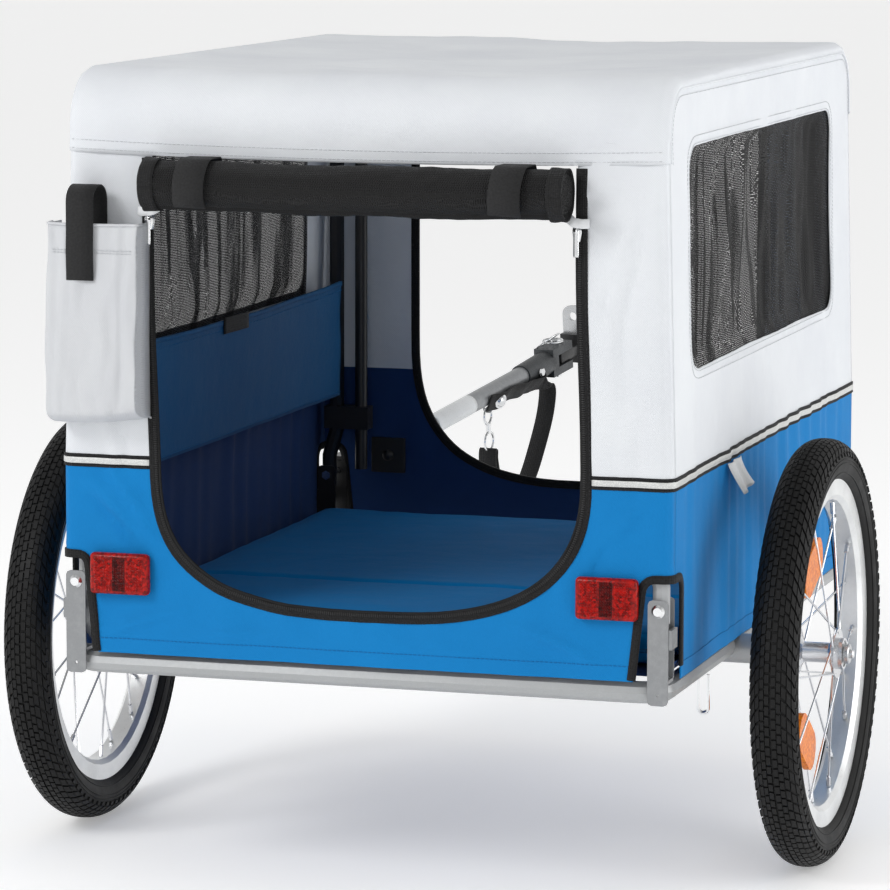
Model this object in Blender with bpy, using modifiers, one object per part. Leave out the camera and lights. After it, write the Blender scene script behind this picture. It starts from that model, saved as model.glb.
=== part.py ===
"""Two-wheeled pet trailer for a bicycle: a tube frame with folding side hoops, fabric cabin, spoked wheels
and a tow arm. Metres, +Z up, +Y towards the bicycle, +X to the trailer's right. The pieces are
drawn with the wheels' axle at Y = 0. Then everything is moved along Y, so that the origin is on the ground
under the middle of the whole trailer."""

import math

import bmesh
import bpy
from mathutils import Matrix, Vector

# ---- driving dimensions ----
HANDS = {-1: "left", 1: "right"}
GAP = 0.0003                # running gap between separate pieces
MERGE = 0.0001              # largest merge distance on any piece
DRILL = 0.0300              # how far a cutter stands out past the piece it cuts
SUNK = 0.0010               # how far joined solids run into each other

# wheels: 16 x 1.75 inch
WHEEL_R = 0.200
WHEEL_X = 0.3592            # wheel plane from the centre line
TYRE_HALF_W = 0.022
RIM_R = 0.1630              # outer edge of the rim flange
RIM_HALF_W = 0.0135
RIM_BED_R = 0.1550          # where the tyre's beads sit
RIM_IN_R = 0.1435
SPOKES = 20
SPOKE_R = 0.0011
SPOKE_LEAN = math.radians(62)
NIPPLE_R = 0.0022
NIPPLE_LEN = 0.012
FLANGE_X = 0.0190           # hub flange from the wheel plane
FLANGE_R = 0.0235
FLANGE_T = 0.0025
SPOKE_CIRCLE_R = 0.0200
HUB_CUP_R = 0.0147
HUB_BARREL_R = 0.0095
HUB_HALF_W = 0.0260
BEARING_R = 0.0120
BEARING_W = 0.0060
AXLE_R = 0.0060
AXLE_CAP_R = 0.0093
AXLE_CAP_END = 0.0315       # outer face of the axle's cap, from the wheel plane
BUTTON_R = 0.0040
BUTTON_TRAVEL = 0.0030
BUTTON_WELL = 0.0140        # depth of the button's bore
REFLECTOR_SPOT_R = 0.0900   # spoke reflectors, from the wheel's centre
REFLECTOR_ANGLES = {1: {"upper": 110, "lower": 237}, -1: {"upper": 95, "lower": 5}}   # up from straight ahead

# base frame
TUBE_R = 0.0100
RAIL_X = 0.2744
RAIL_Z = 0.2029
REAR_Y = -0.2600
FRONT_Y = 0.4880
CORNER_R = 0.0200
AXLE_TUBE_R = 0.0140
AXLE_TUBE_END = 0.3300
SOCKET_DEPTH = 0.0700
BRIDGE_Z = (0.2440, 0.2615) # outer bridge of a corner bracket
LOOP_Y = -0.0990            # wire loop under the right rail
LOOP_LOW = 0.1560

# folding side hoops
HOOP_R = 0.0080
PIVOT_Z = 0.2780
HOOP_TOP_Z = 0.7330
HOOP_X = 0.2660             # the legs lean in above the pivots to this distance
HOOP_BEND_R = 0.0500
NEST = 0.0180               # the left hoop is shorter by this at each end, so it folds inside the right one
LEG_FOOT = 0.0120           # leg below its pivot
JOGGLE = (0.0200, 0.0500)   # the legs lean in between these heights above the pivots
HOOP_ENDS = {1: (REAR_Y, FRONT_Y), -1: (REAR_Y + NEST, FRONT_Y - NEST)}
STAY_X = 0.2390
STAY_R = 0.0065
STAY_Z = (0.2850, 0.6800)
CLAMP_Z = 0.3400
CLAMP_H = 0.0240
CHEEK_T = 0.0020
CHEEK_HALF_W = 0.0094
BRACKET_TOP = 0.2880
BRACKET_BOTTOM = 0.1935
SCREW_R = 0.0030
SCREW_HEAD_R = 0.0062
SCREW_HEAD_H = 0.0024
NUT_R = 0.0050

# fabric cabin
CABIN_X = 0.2870
CABIN_REAR = -0.2715
CABIN_FRONT = 0.4995
CABIN_TOP = 0.7455
CABIN_BOTTOM = 0.2150
FABRIC_T = 0.0015
FLOOR_T = 0.0020
MAT_X = 0.2800
MAT_Y = (-0.2240, 0.4420)
MAT_H = 0.0331
ROOF_RIM_Z = 0.7180         # lower edge of the roof's rounded rim
ROOF_EDGE_R = 0.0250
WRAP = 0.0455               # how far the end walls wrap round onto the sides
WRAP_BOTTOM = 0.3050        # top of the corner cut-outs
CUTOUT_X = 0.2500
SKIRT_TOP = 0.2878          # seam between the floor sheet's skirt and the side panel
DOOR_HALF_W = 0.1990
DOOR_TOP = 0.6680
DOOR_BOTTOM = 0.2635
FRONT_DOOR_HALF_W = 0.1880
FRONT_DOOR_BOTTOM = 0.2730
DOOR_CORNER_H = 0.1350
DOOR_POWER = 2.8            # squareness of the door's lower corners
WINDOW_Y = (-0.1900, 0.4050)
WINDOW_Z = (0.4820, 0.6800)
WINDOW_CORNER_R = 0.0220
ROLL_R = 0.0215
ROLL_HALF_W = 0.1945
WALL_POCKET_X = -0.2545
WALL_POCKET_Y = (-0.2200, 0.4480)
WALL_POCKET_Z = (0.3660, 0.4860)
BAG_X = (-0.2850, -0.2052)
BAG_Z = (0.4340, 0.6170)
BAG_DEPTH = 0.0360
BAG_MOUTH = 0.0180
REFLECTOR_X = 0.2290
REFLECTOR_Z = 0.2880
REFLECTOR_SIZE = (0.0570, 0.0100, 0.0380)
SLIDER_Z = 0.6100
STRAP_T = 0.0020
STRAP_W = 0.0250

# tow arm
ARM_R = 0.0110
ARM_PIVOT = Vector((-0.2680, 0.5240, 0.2755))
ARM_END = Vector((-0.1900, 0.9940, 0.3380))
ARM_LENGTH = (ARM_END - ARM_PIVOT).length
ARM_PIN_R = 0.0040
SOCKET_OVERLAP = 0.0500     # hitch socket over the arm
SOCKET_WALL = 0.0035
SOCKET_NECK = 0.0200        # solid part of the hitch socket beyond the arm
SOCKET_BOLT_R = 0.0025
FORK_L = 0.0480
FORK_HALF_W = 0.0125
FORK_HALF_H = 0.0165
FORK_SLOT_HALF = 0.0070
HITCH_PIN_AT = 0.0520       # hitch pin beyond the arm's end
HITCH_PIN_R = 0.0040
COUPLER_NECK = 0.0420       # from the hitch pin to the coupler's plate
COUPLER_PLATE_T = 0.0050
COUPLER_PLATE_H = 0.0170
EYE_PLATE_T = 0.0050
EYE_HOLE_R = 0.0052
STRAP_RING_AT = 0.1410      # snap hook behind the arm's end
HOOK_TOP = -0.0152          # snap hook's eye below the arm's axis

COLOURS = {
    "silver": ((0.60, 0.61, 0.62), 0.42, 0.7),
    "steel": ((0.70, 0.71, 0.72), 0.25, 1.0),
    "chrome": ((0.85, 0.86, 0.87), 0.08, 1.0),
    "aluminium": ((0.72, 0.73, 0.74), 0.30, 1.0),
    "tyre": ((0.02, 0.02, 0.02), 0.80, 0.0),
    "black_metal": ((0.03, 0.03, 0.03), 0.45, 0.4),
    "grey_cast": ((0.20, 0.21, 0.22), 0.55, 0.5),
    "grey_fabric": ((0.76, 0.78, 0.80), 0.85, 0.0),
    "blue_fabric": ((0.03, 0.20, 0.55), 0.85, 0.0),
    "black_webbing": ((0.02, 0.02, 0.02), 0.90, 0.0),
    "black_mesh": ((0.04, 0.04, 0.04), 0.90, 0.0),
    "red_lens": ((0.45, 0.02, 0.01), 0.20, 0.0),
    "amber_lens": ((0.90, 0.25, 0.02), 0.20, 0.0),
}


# ---- scene and helpers ----
def clear_scene():
    for obj in list(bpy.data.objects):
        bpy.data.objects.remove(obj, do_unlink=True)


def new_collection(name, hidden=False):
    collection = bpy.data.collections.new(name)
    bpy.context.scene.collection.children.link(collection)
    collection.hide_render = hidden
    return collection


def material(kind, name):
    colour, roughness, metallic = COLOURS[kind]
    mat = bpy.data.materials.new(name)
    mat.use_nodes = True
    shader = mat.node_tree.nodes["Principled BSDF"]
    shader.inputs["Base Color"].default_value = (*colour, 1.0)
    shader.inputs["Roughness"].default_value = roughness
    shader.inputs["Metallic"].default_value = metallic
    mat.diffuse_color = (*colour, 1.0)
    return mat


def own(obj, name, kind):
    """Name the object, put it with the parts and give it its own material."""
    obj.name = name
    obj.data.name = name
    for collection in list(obj.users_collection):
        collection.objects.unlink(obj)
    PARTS.objects.link(obj)
    obj.data.materials.clear()
    obj.data.materials.append(material(kind, name))
    return obj


def as_cutter(obj):
    for collection in list(obj.users_collection):
        collection.objects.unlink(obj)
    CUTTERS.objects.link(obj)
    obj.display_type = "WIRE"
    obj.hide_render = True
    return obj


def link(mesh, name="piece"):
    obj = bpy.data.objects.new(name, mesh)
    bpy.context.scene.collection.objects.link(obj)
    return obj


def boolean(obj, tool, operation="DIFFERENCE"):
    mod = obj.modifiers.new(operation.lower(), "BOOLEAN")
    mod.operation = operation
    mod.solver = "EXACT"
    mod.object = as_cutter(tool)
    return mod


def bevel(obj, width, segments=2):
    mod = obj.modifiers.new("bevel", "BEVEL")
    mod.width = width
    mod.segments = segments
    mod.limit_method = "ANGLE"
    return mod


def box(low, high):
    bm = bmesh.new()
    bmesh.ops.create_cube(bm, size=1.0)
    size = Vector(high) - Vector(low)
    bmesh.ops.scale(bm, vec=size, verts=bm.verts)
    bmesh.ops.translate(bm, vec=(Vector(low) + Vector(high)) / 2, verts=bm.verts)
    mesh = bpy.data.meshes.new("box")
    bm.to_mesh(mesh)
    bm.free()
    return link(mesh)


def rod(start, end, radius, segments=24, end_radius=None):
    """A cylinder, or a cone, between two points."""
    start, end = Vector(start), Vector(end)
    bm = bmesh.new()
    top = radius if end_radius is None else end_radius
    bmesh.ops.create_cone(bm, cap_ends=True, segments=segments, radius1=radius, radius2=top,
                          depth=(end - start).length)
    mesh = bpy.data.meshes.new("rod")
    bm.to_mesh(mesh)
    bm.free()
    obj = link(mesh)
    obj.matrix_world = Matrix.Translation((start + end) / 2) @ \
        (end - start).to_track_quat("Z", "Y").to_matrix().to_4x4()
    return obj


def place(obj, matrix):
    """Move the mesh itself, so that the object stays at the origin."""
    obj.data.transform(matrix @ obj.matrix_world)
    obj.matrix_world = Matrix.Identity(4)
    return obj


def rounded(points, radius, steps=4, closed=False):
    """The same path with each inner corner replaced by an arc."""
    points = [Vector(p) for p in points]
    count = len(points)
    path = []
    for i, corner in enumerate(points):
        if not closed and i in (0, count - 1):
            path.append(corner)
            continue
        back = points[i - 1] - corner
        ahead = points[(i + 1) % count] - corner
        half = back.angle(ahead) / 2
        cut = radius / math.tan(half)
        start = corner + back.normalized() * cut
        end = corner + ahead.normalized() * cut
        centre = corner + (back.normalized() + ahead.normalized()).normalized() * radius / math.sin(half)
        turn = math.pi - 2 * half
        for k in range(steps + 1):
            share = k / steps
            arm = (start - centre) * math.sin((1 - share) * turn) + (end - centre) * math.sin(share * turn)
            path.append(centre + arm / math.sin(turn))
    return path


def tube(points, radius, resolution=2, closed=False):
    """A wire or tube along a path, with filled ends."""
    curve = bpy.data.curves.new("tube", "CURVE")
    curve.dimensions = "3D"
    curve.bevel_depth = radius
    curve.bevel_resolution = resolution
    curve.use_fill_caps = True
    spline = curve.splines.new("POLY")
    spline.points.add(len(points) - 1)
    for point, place_at in zip(spline.points, points):
        point.co = (*place_at, 1.0)
    spline.use_cyclic_u = closed
    return link(curve)


def to_mesh(obj):
    """Turn a curve into a welded mesh object, so that it can be cut."""
    bpy.context.view_layer.update()
    depsgraph = bpy.context.evaluated_depsgraph_get()
    mesh = bpy.data.meshes.new_from_object(obj.evaluated_get(depsgraph))
    bm = bmesh.new()
    bm.from_mesh(mesh)
    bmesh.ops.remove_doubles(bm, verts=bm.verts, dist=MERGE / 10)
    bmesh.ops.recalc_face_normals(bm, faces=bm.faces)
    bm.to_mesh(mesh)
    bm.free()
    matrix = obj.matrix_world.copy()
    bpy.data.objects.remove(obj)
    new = link(mesh)
    new.matrix_world = matrix
    return new


def sheet(outlines, thickness):
    """A flat plate in the local XY plane. The first outline is its edge and the others are holes."""
    curve = bpy.data.curves.new("sheet", "CURVE")
    curve.dimensions = "2D"
    curve.fill_mode = "BOTH"
    curve.extrude = thickness / 2
    for outline in outlines:
        spline = curve.splines.new("POLY")
        spline.points.add(len(outline) - 1)
        for point, (x, y) in zip(spline.points, outline):
            point.co = (x, y, 0.0, 1.0)
        spline.use_cyclic_u = True
    return to_mesh(link(curve))


def upright_x(obj, x):
    """Stand a plate drawn in (y, z) in the plane at x."""
    return place(obj, Matrix.Translation((x, 0, 0)) @ Matrix(((0, 0, 1), (1, 0, 0), (0, 1, 0))).to_4x4())


def upright_y(obj, y):
    """Stand a plate drawn in (x, z) in the plane at y."""
    return place(obj, Matrix.Translation((0, y, 0)) @ Matrix.Rotation(math.radians(90), 4, "X"))


def round_rect(low, high, radius, steps=4):
    corners = [(low[0], low[1], 0), (high[0], low[1], 0), (high[0], high[1], 0), (low[0], high[1], 0)]
    return [(p.x, p.y) for p in rounded(corners, radius, steps, closed=True)]


def ribbon(path, thickness):
    """A closed outline around an open (x, y) path, half the thickness to each side."""
    path = [Vector(p) for p in path]
    left, right = [], []
    for i, point in enumerate(path):
        back = path[max(i - 1, 0)]
        ahead = path[min(i + 1, len(path) - 1)]
        side = (ahead - back).orthogonal().normalized() * thickness / 2
        left.append(point + side)
        right.append(point - side)
    return [(p.x, p.y) for p in left + right[::-1]]


def arc(centre, radius, start, end, steps):
    """Points on a circle in a plane, between two angles in degrees."""
    angles = [math.radians(start + (end - start) * k / steps) for k in range(steps + 1)]
    return [Vector((centre[0] + radius * math.cos(a), centre[1] + radius * math.sin(a))) for a in angles]


def turned(profile, steps=32, closed=False):
    """Turn a (radius, height) profile round Z. The profile has to run down its outer side."""
    area = sum(r0 * z1 - r1 * z0 for (r0, z0), (r1, z1) in zip(profile, profile[1:] + profile[:1]))
    if area > 0:
        profile = profile[::-1]
    mesh = bpy.data.meshes.new("turned")
    bm = bmesh.new()
    verts = [bm.verts.new((r, 0.0, z)) for r, z in profile]
    for a, b in zip(verts, verts[1:]):
        bm.edges.new((a, b))
    if closed:
        bm.edges.new((verts[-1], verts[0]))
    bm.to_mesh(mesh)
    bm.free()
    obj = link(mesh)
    screw = obj.modifiers.new("screw", "SCREW")
    screw.axis = "Z"
    screw.steps = steps
    screw.render_steps = steps
    screw.use_merge_vertices = True
    screw.merge_threshold = MERGE
    return obj


# ---- base frame ----
def base_frame():
    corners = [(-RAIL_X, REAR_Y, RAIL_Z), (RAIL_X, REAR_Y, RAIL_Z),
               (RAIL_X, FRONT_Y, RAIL_Z), (-RAIL_X, FRONT_Y, RAIL_Z)]
    frame = to_mesh(tube(rounded(corners, CORNER_R, 4, closed=True), TUBE_R, 3, closed=True))
    own(frame, "base_frame", "silver")
    cross = rod((-AXLE_TUBE_END, 0, WHEEL_R), (AXLE_TUBE_END, 0, WHEEL_R), AXLE_TUBE_R)
    boolean(frame, cross, "UNION")
    for side in (-1, 1):
        socket = rod((side * (AXLE_TUBE_END - SOCKET_DEPTH), 0, WHEEL_R),
                     (side * (AXLE_TUBE_END + TUBE_R), 0, WHEEL_R), AXLE_R + GAP)
        boolean(frame, socket)
    return frame


def corner_bracket(name, side, end, leg_y):
    """Two cheeks and an outer bridge welded to the rail's corner. The leg turns between the cheeks."""
    rail_y = REAR_Y if end < 0 else FRONT_Y
    outer_y = rail_y + end * (TUBE_R + GAP + CHEEK_T / 2)
    inner_y = leg_y - end * (HOOP_R + GAP * 2 + CHEEK_T / 2)
    x = side * RAIL_X
    outline = round_rect((x - CHEEK_HALF_W, BRACKET_BOTTOM), (x + CHEEK_HALF_W, BRACKET_TOP), 0.004, 2)
    outer = own(upright_y(sheet([outline], CHEEK_T), outer_y), name, "silver" if end < 0 else "black_metal")
    low = RAIL_Z + TUBE_R + GAP
    outline = round_rect((x - CHEEK_HALF_W, low), (x + CHEEK_HALF_W, BRACKET_TOP), 0.003, 2)
    boolean(outer, upright_y(sheet([outline], CHEEK_T), inner_y), "UNION")
    edge = x + side * (CHEEK_HALF_W - CHEEK_T / 2)
    low_y, high_y = sorted((outer_y, inner_y))
    near_x, far_x = sorted((edge, edge + side * 2 * CHEEK_T))
    bridge = box((near_x, low_y, BRIDGE_Z[0]), (far_x, high_y, BRIDGE_Z[1]))
    boolean(outer, bridge, "UNION")
    sill_half_w, sill_h = CHEEK_HALF_W - 0.0005, 0.0030
    sill = box((x - sill_half_w, low_y, low), (x + sill_half_w, high_y, low + sill_h))
    boolean(outer, sill, "UNION")
    hole = rod((x, low_y - DRILL, PIVOT_Z), (x, high_y + DRILL, PIVOT_Z), SCREW_R + GAP, 16)
    boolean(outer, hole)
    rivet_r, reach = 0.0014, 0.0050
    boolean(outer, rod((x, outer_y - reach, RAIL_Z), (x, outer_y + reach, RAIL_Z), rivet_r, 12))
    return outer


def pivot_screw(name, side, end, leg_y):
    """Cross-head screw through both cheeks and the leg, with its nut formed on."""
    rail_y = REAR_Y if end < 0 else FRONT_Y
    outer = rail_y + end * (TUBE_R + GAP + CHEEK_T)
    inner = leg_y - end * (HOOP_R + GAP * 2 + CHEEK_T)
    x = side * RAIL_X
    nut_h = 0.0040 if end < 0 else 0.0020
    dome_r = SCREW_HEAD_R * 0.62
    head = rod((x, outer + end * (SCREW_HEAD_H + GAP), PIVOT_Z), (x, outer + end * GAP, PIVOT_Z),
               dome_r, 20, SCREW_HEAD_R)
    screw = own(head, name, "chrome")
    shank_out, nut_out = outer + end * (GAP + SUNK), inner - end * (nut_h + GAP)
    boolean(screw, rod((x, shank_out, PIVOT_Z), (x, nut_out + end * SUNK, PIVOT_Z), SCREW_R, 16), "UNION")
    boolean(screw, rod((x, inner - end * GAP, PIVOT_Z), (x, nut_out, PIVOT_Z), NUT_R, 6), "UNION")
    return screw


def tie_down_loop():
    """Bent wire loop that hangs from the right rail."""
    half_w, wire_r, clear = 0.0045, 0.0018, 0.0008
    top = RAIL_Z - TUBE_R - GAP - clear
    left, right = RAIL_X - half_w, RAIL_X + half_w
    corners = [(left, LOOP_Y, top), (left, LOOP_Y, LOOP_LOW), (right, LOOP_Y, LOOP_LOW), (right, LOOP_Y, top)]
    path = rounded(corners, half_w - 0.0002, 5)
    return own(tube(path, wire_r, 2), "tie_down_loop", "chrome")


# ---- floor and cabin ----
def floor_tub():
    """Floor sheet that passes over the side rails and turns up into the lowest strips of the side walls."""
    half_w, inset = RAIL_X - 0.0150, 0.0130
    low_z = WHEEL_R + AXLE_TUBE_R + GAP * 2
    outline = round_rect((-half_w, REAR_Y + inset), (half_w, FRONT_Y - inset), 0.010, 3)
    tub = place(sheet([outline], FLOOR_T), Matrix.Translation((0, 0, low_z + FLOOR_T / 2)))
    own(tub, "floor_tub", "blue_fabric")
    rear, front = CABIN_REAR + WRAP + GAP * 3, CABIN_FRONT - WRAP - GAP * 3
    boolean(tub, box((-CABIN_X, rear, low_z), (CABIN_X, front, low_z + FLOOR_T)), "UNION")
    for side in (-1, 1):
        low_x, high_x = sorted((side * (CABIN_X - FABRIC_T), side * CABIN_X))
        skirt = box((low_x, rear, low_z), (high_x, front, SKIRT_TOP - GAP * 2))
        boolean(tub, skirt, "UNION")
    return tub


def floor_mat():
    bottom = WHEEL_R + AXLE_TUBE_R + GAP * 3 + FLOOR_T
    mat = box((-MAT_X, MAT_Y[0], bottom), (MAT_X, MAT_Y[1], bottom + MAT_H))
    bevel(mat, MAT_H / 4, 2)
    return own(mat, "floor_mat", "blue_fabric")


def door_outline(half_w, bottom):
    """Straight sides and a squarish rounded bottom, in (x, z)."""
    steps = 14
    knee = bottom + DOOR_CORNER_H
    curve = []
    for k in range(steps + 1):
        a = math.pi * k / steps
        x = abs(math.cos(a)) ** (2 / DOOR_POWER) * half_w
        z = knee - abs(math.sin(a)) ** (2 / DOOR_POWER) * DOOR_CORNER_H
        curve.append((x if a < math.pi / 2 else -x, z))
    return [(half_w, DOOR_TOP)] + curve + [(-half_w, DOOR_TOP)]


def end_wall(name, end, half_w, bottom):
    """An end wall with its door opening, wrapped a little way round onto the sides."""
    face = CABIN_REAR if end < 0 else CABIN_FRONT
    wrap_y = face - end * WRAP
    middle = FABRIC_T / 2
    x, y = CABIN_X - middle, face - end * middle
    path = rounded([(-x, wrap_y, 0), (-x, y, 0), (x, y, 0), (x, wrap_y, 0)], 0.010, 3)
    wall = sheet([ribbon([(p.x, p.y) for p in path], FABRIC_T)], ROOF_RIM_Z - CABIN_BOTTOM - GAP * 2)
    place(wall, Matrix.Translation((0, 0, (ROOF_RIM_Z - GAP * 2 + CABIN_BOTTOM) / 2)))
    own(wall, name, "grey_fabric")
    door = upright_y(sheet([door_outline(half_w, bottom)], DRILL), y)
    boolean(wall, door)
    for side in (-1, 1):
        low_x, high_x = sorted((side * CUTOUT_X, side * (CABIN_X + DRILL)))
        low_y, high_y = sorted((face + end * DRILL, wrap_y - end * DRILL))
        notch = box((low_x, low_y, CABIN_BOTTOM - DRILL), (high_x, high_y, WRAP_BOTTOM))
        boolean(wall, notch)
    return wall


def roof_cover():
    """Shallow lid with rounded edges: an open, rounded box thickened inwards."""
    bm = bmesh.new()
    bmesh.ops.create_cube(bm, size=1.0)
    size = (2 * CABIN_X, CABIN_FRONT - CABIN_REAR, 2 * (CABIN_TOP - ROOF_RIM_Z))
    bmesh.ops.scale(bm, vec=size, verts=bm.verts)
    edges = [edge for edge in bm.edges if max(vert.co.z for vert in edge.verts) > 0]
    bmesh.ops.bevel(bm, geom=edges, offset=ROOF_EDGE_R, segments=4, profile=0.5, affect="EDGES")
    bmesh.ops.bisect_plane(bm, geom=bm.verts[:] + bm.edges[:] + bm.faces[:], plane_co=(0, 0, 0),
                           plane_no=(0, 0, 1), clear_inner=True)
    middle_y = (CABIN_FRONT + CABIN_REAR) / 2
    bmesh.ops.translate(bm, vec=(0, middle_y, ROOF_RIM_Z), verts=bm.verts)
    mesh = bpy.data.meshes.new("roof")
    bm.to_mesh(mesh)
    bm.free()
    roof = link(mesh)
    solid = roof.modifiers.new("solidify", "SOLIDIFY")
    solid.thickness = FABRIC_T
    solid.offset = -1.0
    return own(roof, "roof_cover", "grey_fabric")


def side_panel(name, side):
    """The side wall between the wrapped ends of the end walls, with its window opening."""
    rear, front = CABIN_REAR + WRAP + GAP * 3, CABIN_FRONT - WRAP - GAP * 3
    low, high = SKIRT_TOP + GAP * 2, ROOF_RIM_Z - GAP * 3
    outline = [(rear, low), (front, low), (front, high), (rear, high)]
    hole = round_rect((WINDOW_Y[0], WINDOW_Z[0]), (WINDOW_Y[1], WINDOW_Z[1]), WINDOW_CORNER_R)
    panel = upright_x(sheet([outline, hole], FABRIC_T), side * (CABIN_X - FABRIC_T / 2))
    return own(panel, name, "grey_fabric")


def window_mesh(name, side):
    outline = round_rect((WINDOW_Y[0] + GAP, WINDOW_Z[0] + GAP), (WINDOW_Y[1] - GAP, WINDOW_Z[1] - GAP),
                         WINDOW_CORNER_R)
    pane = upright_x(sheet([outline], FABRIC_T * 0.6), side * (CABIN_X - FABRIC_T / 2))
    return own(pane, name, "black_mesh")


def wall_pocket():
    """Padded organiser across the inside of the left wall."""
    half_t = 0.0012
    pocket = box((WALL_POCKET_X - half_t, WALL_POCKET_Y[0], WALL_POCKET_Z[0]),
                 (WALL_POCKET_X + half_t, WALL_POCKET_Y[1], WALL_POCKET_Z[1]))
    bevel(pocket, half_t * 2 / 3, 1)
    return own(pocket, "wall_pocket", "blue_fabric")


def rear_door_roll():
    """The mesh door, rolled up over its opening."""
    y = CABIN_REAR - ROLL_R - 0.0012
    z = DOOR_TOP - ROLL_R - 0.0005
    roll = rod((-ROLL_HALF_W, y, z), (ROLL_HALF_W, y, z), ROLL_R, 20)
    return own(roll, "rear_door_roll", "black_mesh")


def storage_pocket():
    """Outside pocket on the rear wall: thin at its mouth, fuller at its base."""
    back = CABIN_REAR - 0.0010
    pocket = box((BAG_X[0], CABIN_REAR - BAG_DEPTH, BAG_Z[0]), (BAG_X[1], back, BAG_Z[1]))
    for vert in pocket.data.vertices:
        if vert.co.z > sum(BAG_Z) / 2:
            vert.co.y = max(vert.co.y, CABIN_REAR - BAG_MOUTH)
    bevel(pocket, 0.0060, 2)
    return own(pocket, "storage_pocket", "grey_fabric")


def rear_reflector(name, side):
    width, depth, height = REFLECTOR_SIZE
    x, back = side * REFLECTOR_X, CABIN_REAR - GAP * 2
    lens = box((x - width / 2, back - depth, REFLECTOR_Z - height / 2),
               (x + width / 2, back, REFLECTOR_Z + height / 2))
    bevel(lens, 0.0045, 2)
    return own(lens, name, "red_lens")


def zip_slider(name, side):
    """Zip slider with its pull, at the top of the door's straight edge."""
    x, back = side * (DOOR_HALF_W + 0.0004), CABIN_REAR - GAP * 2
    half_w, half_h, depth = 0.0045, 0.0070, 0.0040
    body = box((x - half_w, back - depth, SLIDER_Z - half_h), (x + half_w, back, SLIDER_Z + half_h))
    own(body, name, "chrome")
    stand_off, pull_top, pull_low, wire_r = 0.0090, SLIDER_Z + 0.0040, SLIDER_Z - 0.0220, 0.0014
    root, tongue = back - depth * 3 / 4, back - stand_off
    bend = [(x, root, pull_top), (x, tongue, pull_top), (x, tongue, pull_low)]
    boolean(body, to_mesh(tube(rounded(bend, 0.0025, 3), wire_r, 1)), "UNION")
    return body


# ---- folding side hoops ----
def hoop(name, side, ends):
    """Inverted U of tube, flat ended, drilled for its two pivot screws."""
    rear, front = ends
    foot = PIVOT_Z - LEG_FOOT
    joggle_low, joggle_high = PIVOT_Z + JOGGLE[0], PIVOT_Z + JOGGLE[1]
    side_path = [(RAIL_X, rear, foot), (RAIL_X, rear, joggle_low), (HOOP_X, rear, joggle_high),
                 (HOOP_X, rear, HOOP_TOP_Z - HOOP_BEND_R)]
    bend = [(HOOP_X, rear + HOOP_BEND_R * (1 - math.cos(a)), HOOP_TOP_Z - HOOP_BEND_R * (1 - math.sin(a)))
            for a in (math.radians(18 * k) for k in range(1, 6))]
    half = side_path + bend
    middle = (rear + front) / 2
    path = half + [(x, 2 * middle - y, z) for x, y, z in half[::-1]]
    frame = own(to_mesh(tube([(side * x, y, z) for x, y, z in path], HOOP_R, 3)), name, "black_metal")
    reach = HOOP_R * 1.5
    for y in ends:
        x = side * RAIL_X
        boolean(frame, rod((x, y - reach, PIVOT_Z), (x, y + reach, PIVOT_Z), SCREW_R + GAP, 16))
    return frame


def stay(name, side, y):
    """Second upright beside the front leg of a hoop, with the plastic clamp that ties it to the leg."""
    low, high = STAY_Z
    upright = own(rod((side * STAY_X, y, low), (side * STAY_X, y, high), STAY_R, 16), name, "black_metal")
    margin = 0.0035
    low_x, high_x = sorted((side * (STAY_X - STAY_R - margin), side * (HOOP_X + HOOP_R + margin)))
    depth = HOOP_R + margin / 4
    clamp = box((low_x, y - depth, CLAMP_Z - CLAMP_H / 2), (high_x, y + depth, CLAMP_Z + CLAMP_H / 2))
    boolean(upright, clamp, "UNION")
    bore = rod((side * HOOP_X, y, CLAMP_Z - CLAMP_H), (side * HOOP_X, y, CLAMP_Z + CLAMP_H), HOOP_R + GAP, 20)
    boolean(upright, bore)
    return upright


# ---- wheels ----
def wheel_frame(side):
    """Maps a shape turned round Z onto the wheel's axle, with local +Z pointing outwards."""
    return Matrix.Translation((side * WHEEL_X, 0, WHEEL_R)) @ Matrix.Rotation(side * math.radians(90), 4, "Y")


def on_axle(obj, side):
    obj.matrix_world = wheel_frame(side)
    return obj


def tyre(name, side):
    """Closed ring whose profile runs from one bead over the crown to the other."""
    bead = RIM_BED_R + GAP
    inner_w = RIM_HALF_W - 0.0020 - GAP
    outside = [(bead, inner_w), (RIM_R + 0.0010, inner_w), (RIM_R + 0.0050, 0.0175), (0.1745, 0.0212),
               (0.1815, TYRE_HALF_W), (0.1885, 0.0205), (0.1945, 0.0160), (0.1985, 0.0085), (WHEEL_R, 0.0)]
    profile = outside + [(r, -z) for r, z in outside[-2::-1]]
    return own(on_axle(turned(profile, 44, closed=True), side), name, "tyre")


def rim(name, side):
    lip = RIM_HALF_W - 0.0020
    half = [(RIM_R, RIM_HALF_W), (0.1480, RIM_HALF_W - 0.0010), (RIM_IN_R, 0.0085)]
    bed = [(RIM_BED_R, lip), (RIM_R, lip)]
    profile = half + [(r, -z) for r, z in half[::-1]] + [(r, -z) for r, z in bed[::-1]] + bed
    return own(on_axle(turned(profile, 44, closed=True), side), name, "aluminium")


def spoke_ends(k):
    """Hub end and rim end of spoke k. Crossing spokes leave opposite faces of their flange."""
    flange = 1 if k % 2 else -1
    hand = 1 if (k // 2) % 2 else -1
    at = 2 * math.pi * k / SPOKES
    hub_at = at + hand * SPOKE_LEAN
    end_r = RIM_IN_R - GAP
    inner = Vector((SPOKE_CIRCLE_R * math.cos(hub_at), SPOKE_CIRCLE_R * math.sin(hub_at),
                    flange * (FLANGE_X + hand * FLANGE_T / 3)))
    return inner, Vector((end_r * math.cos(at), end_r * math.sin(at), flange * 0.0030))


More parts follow.
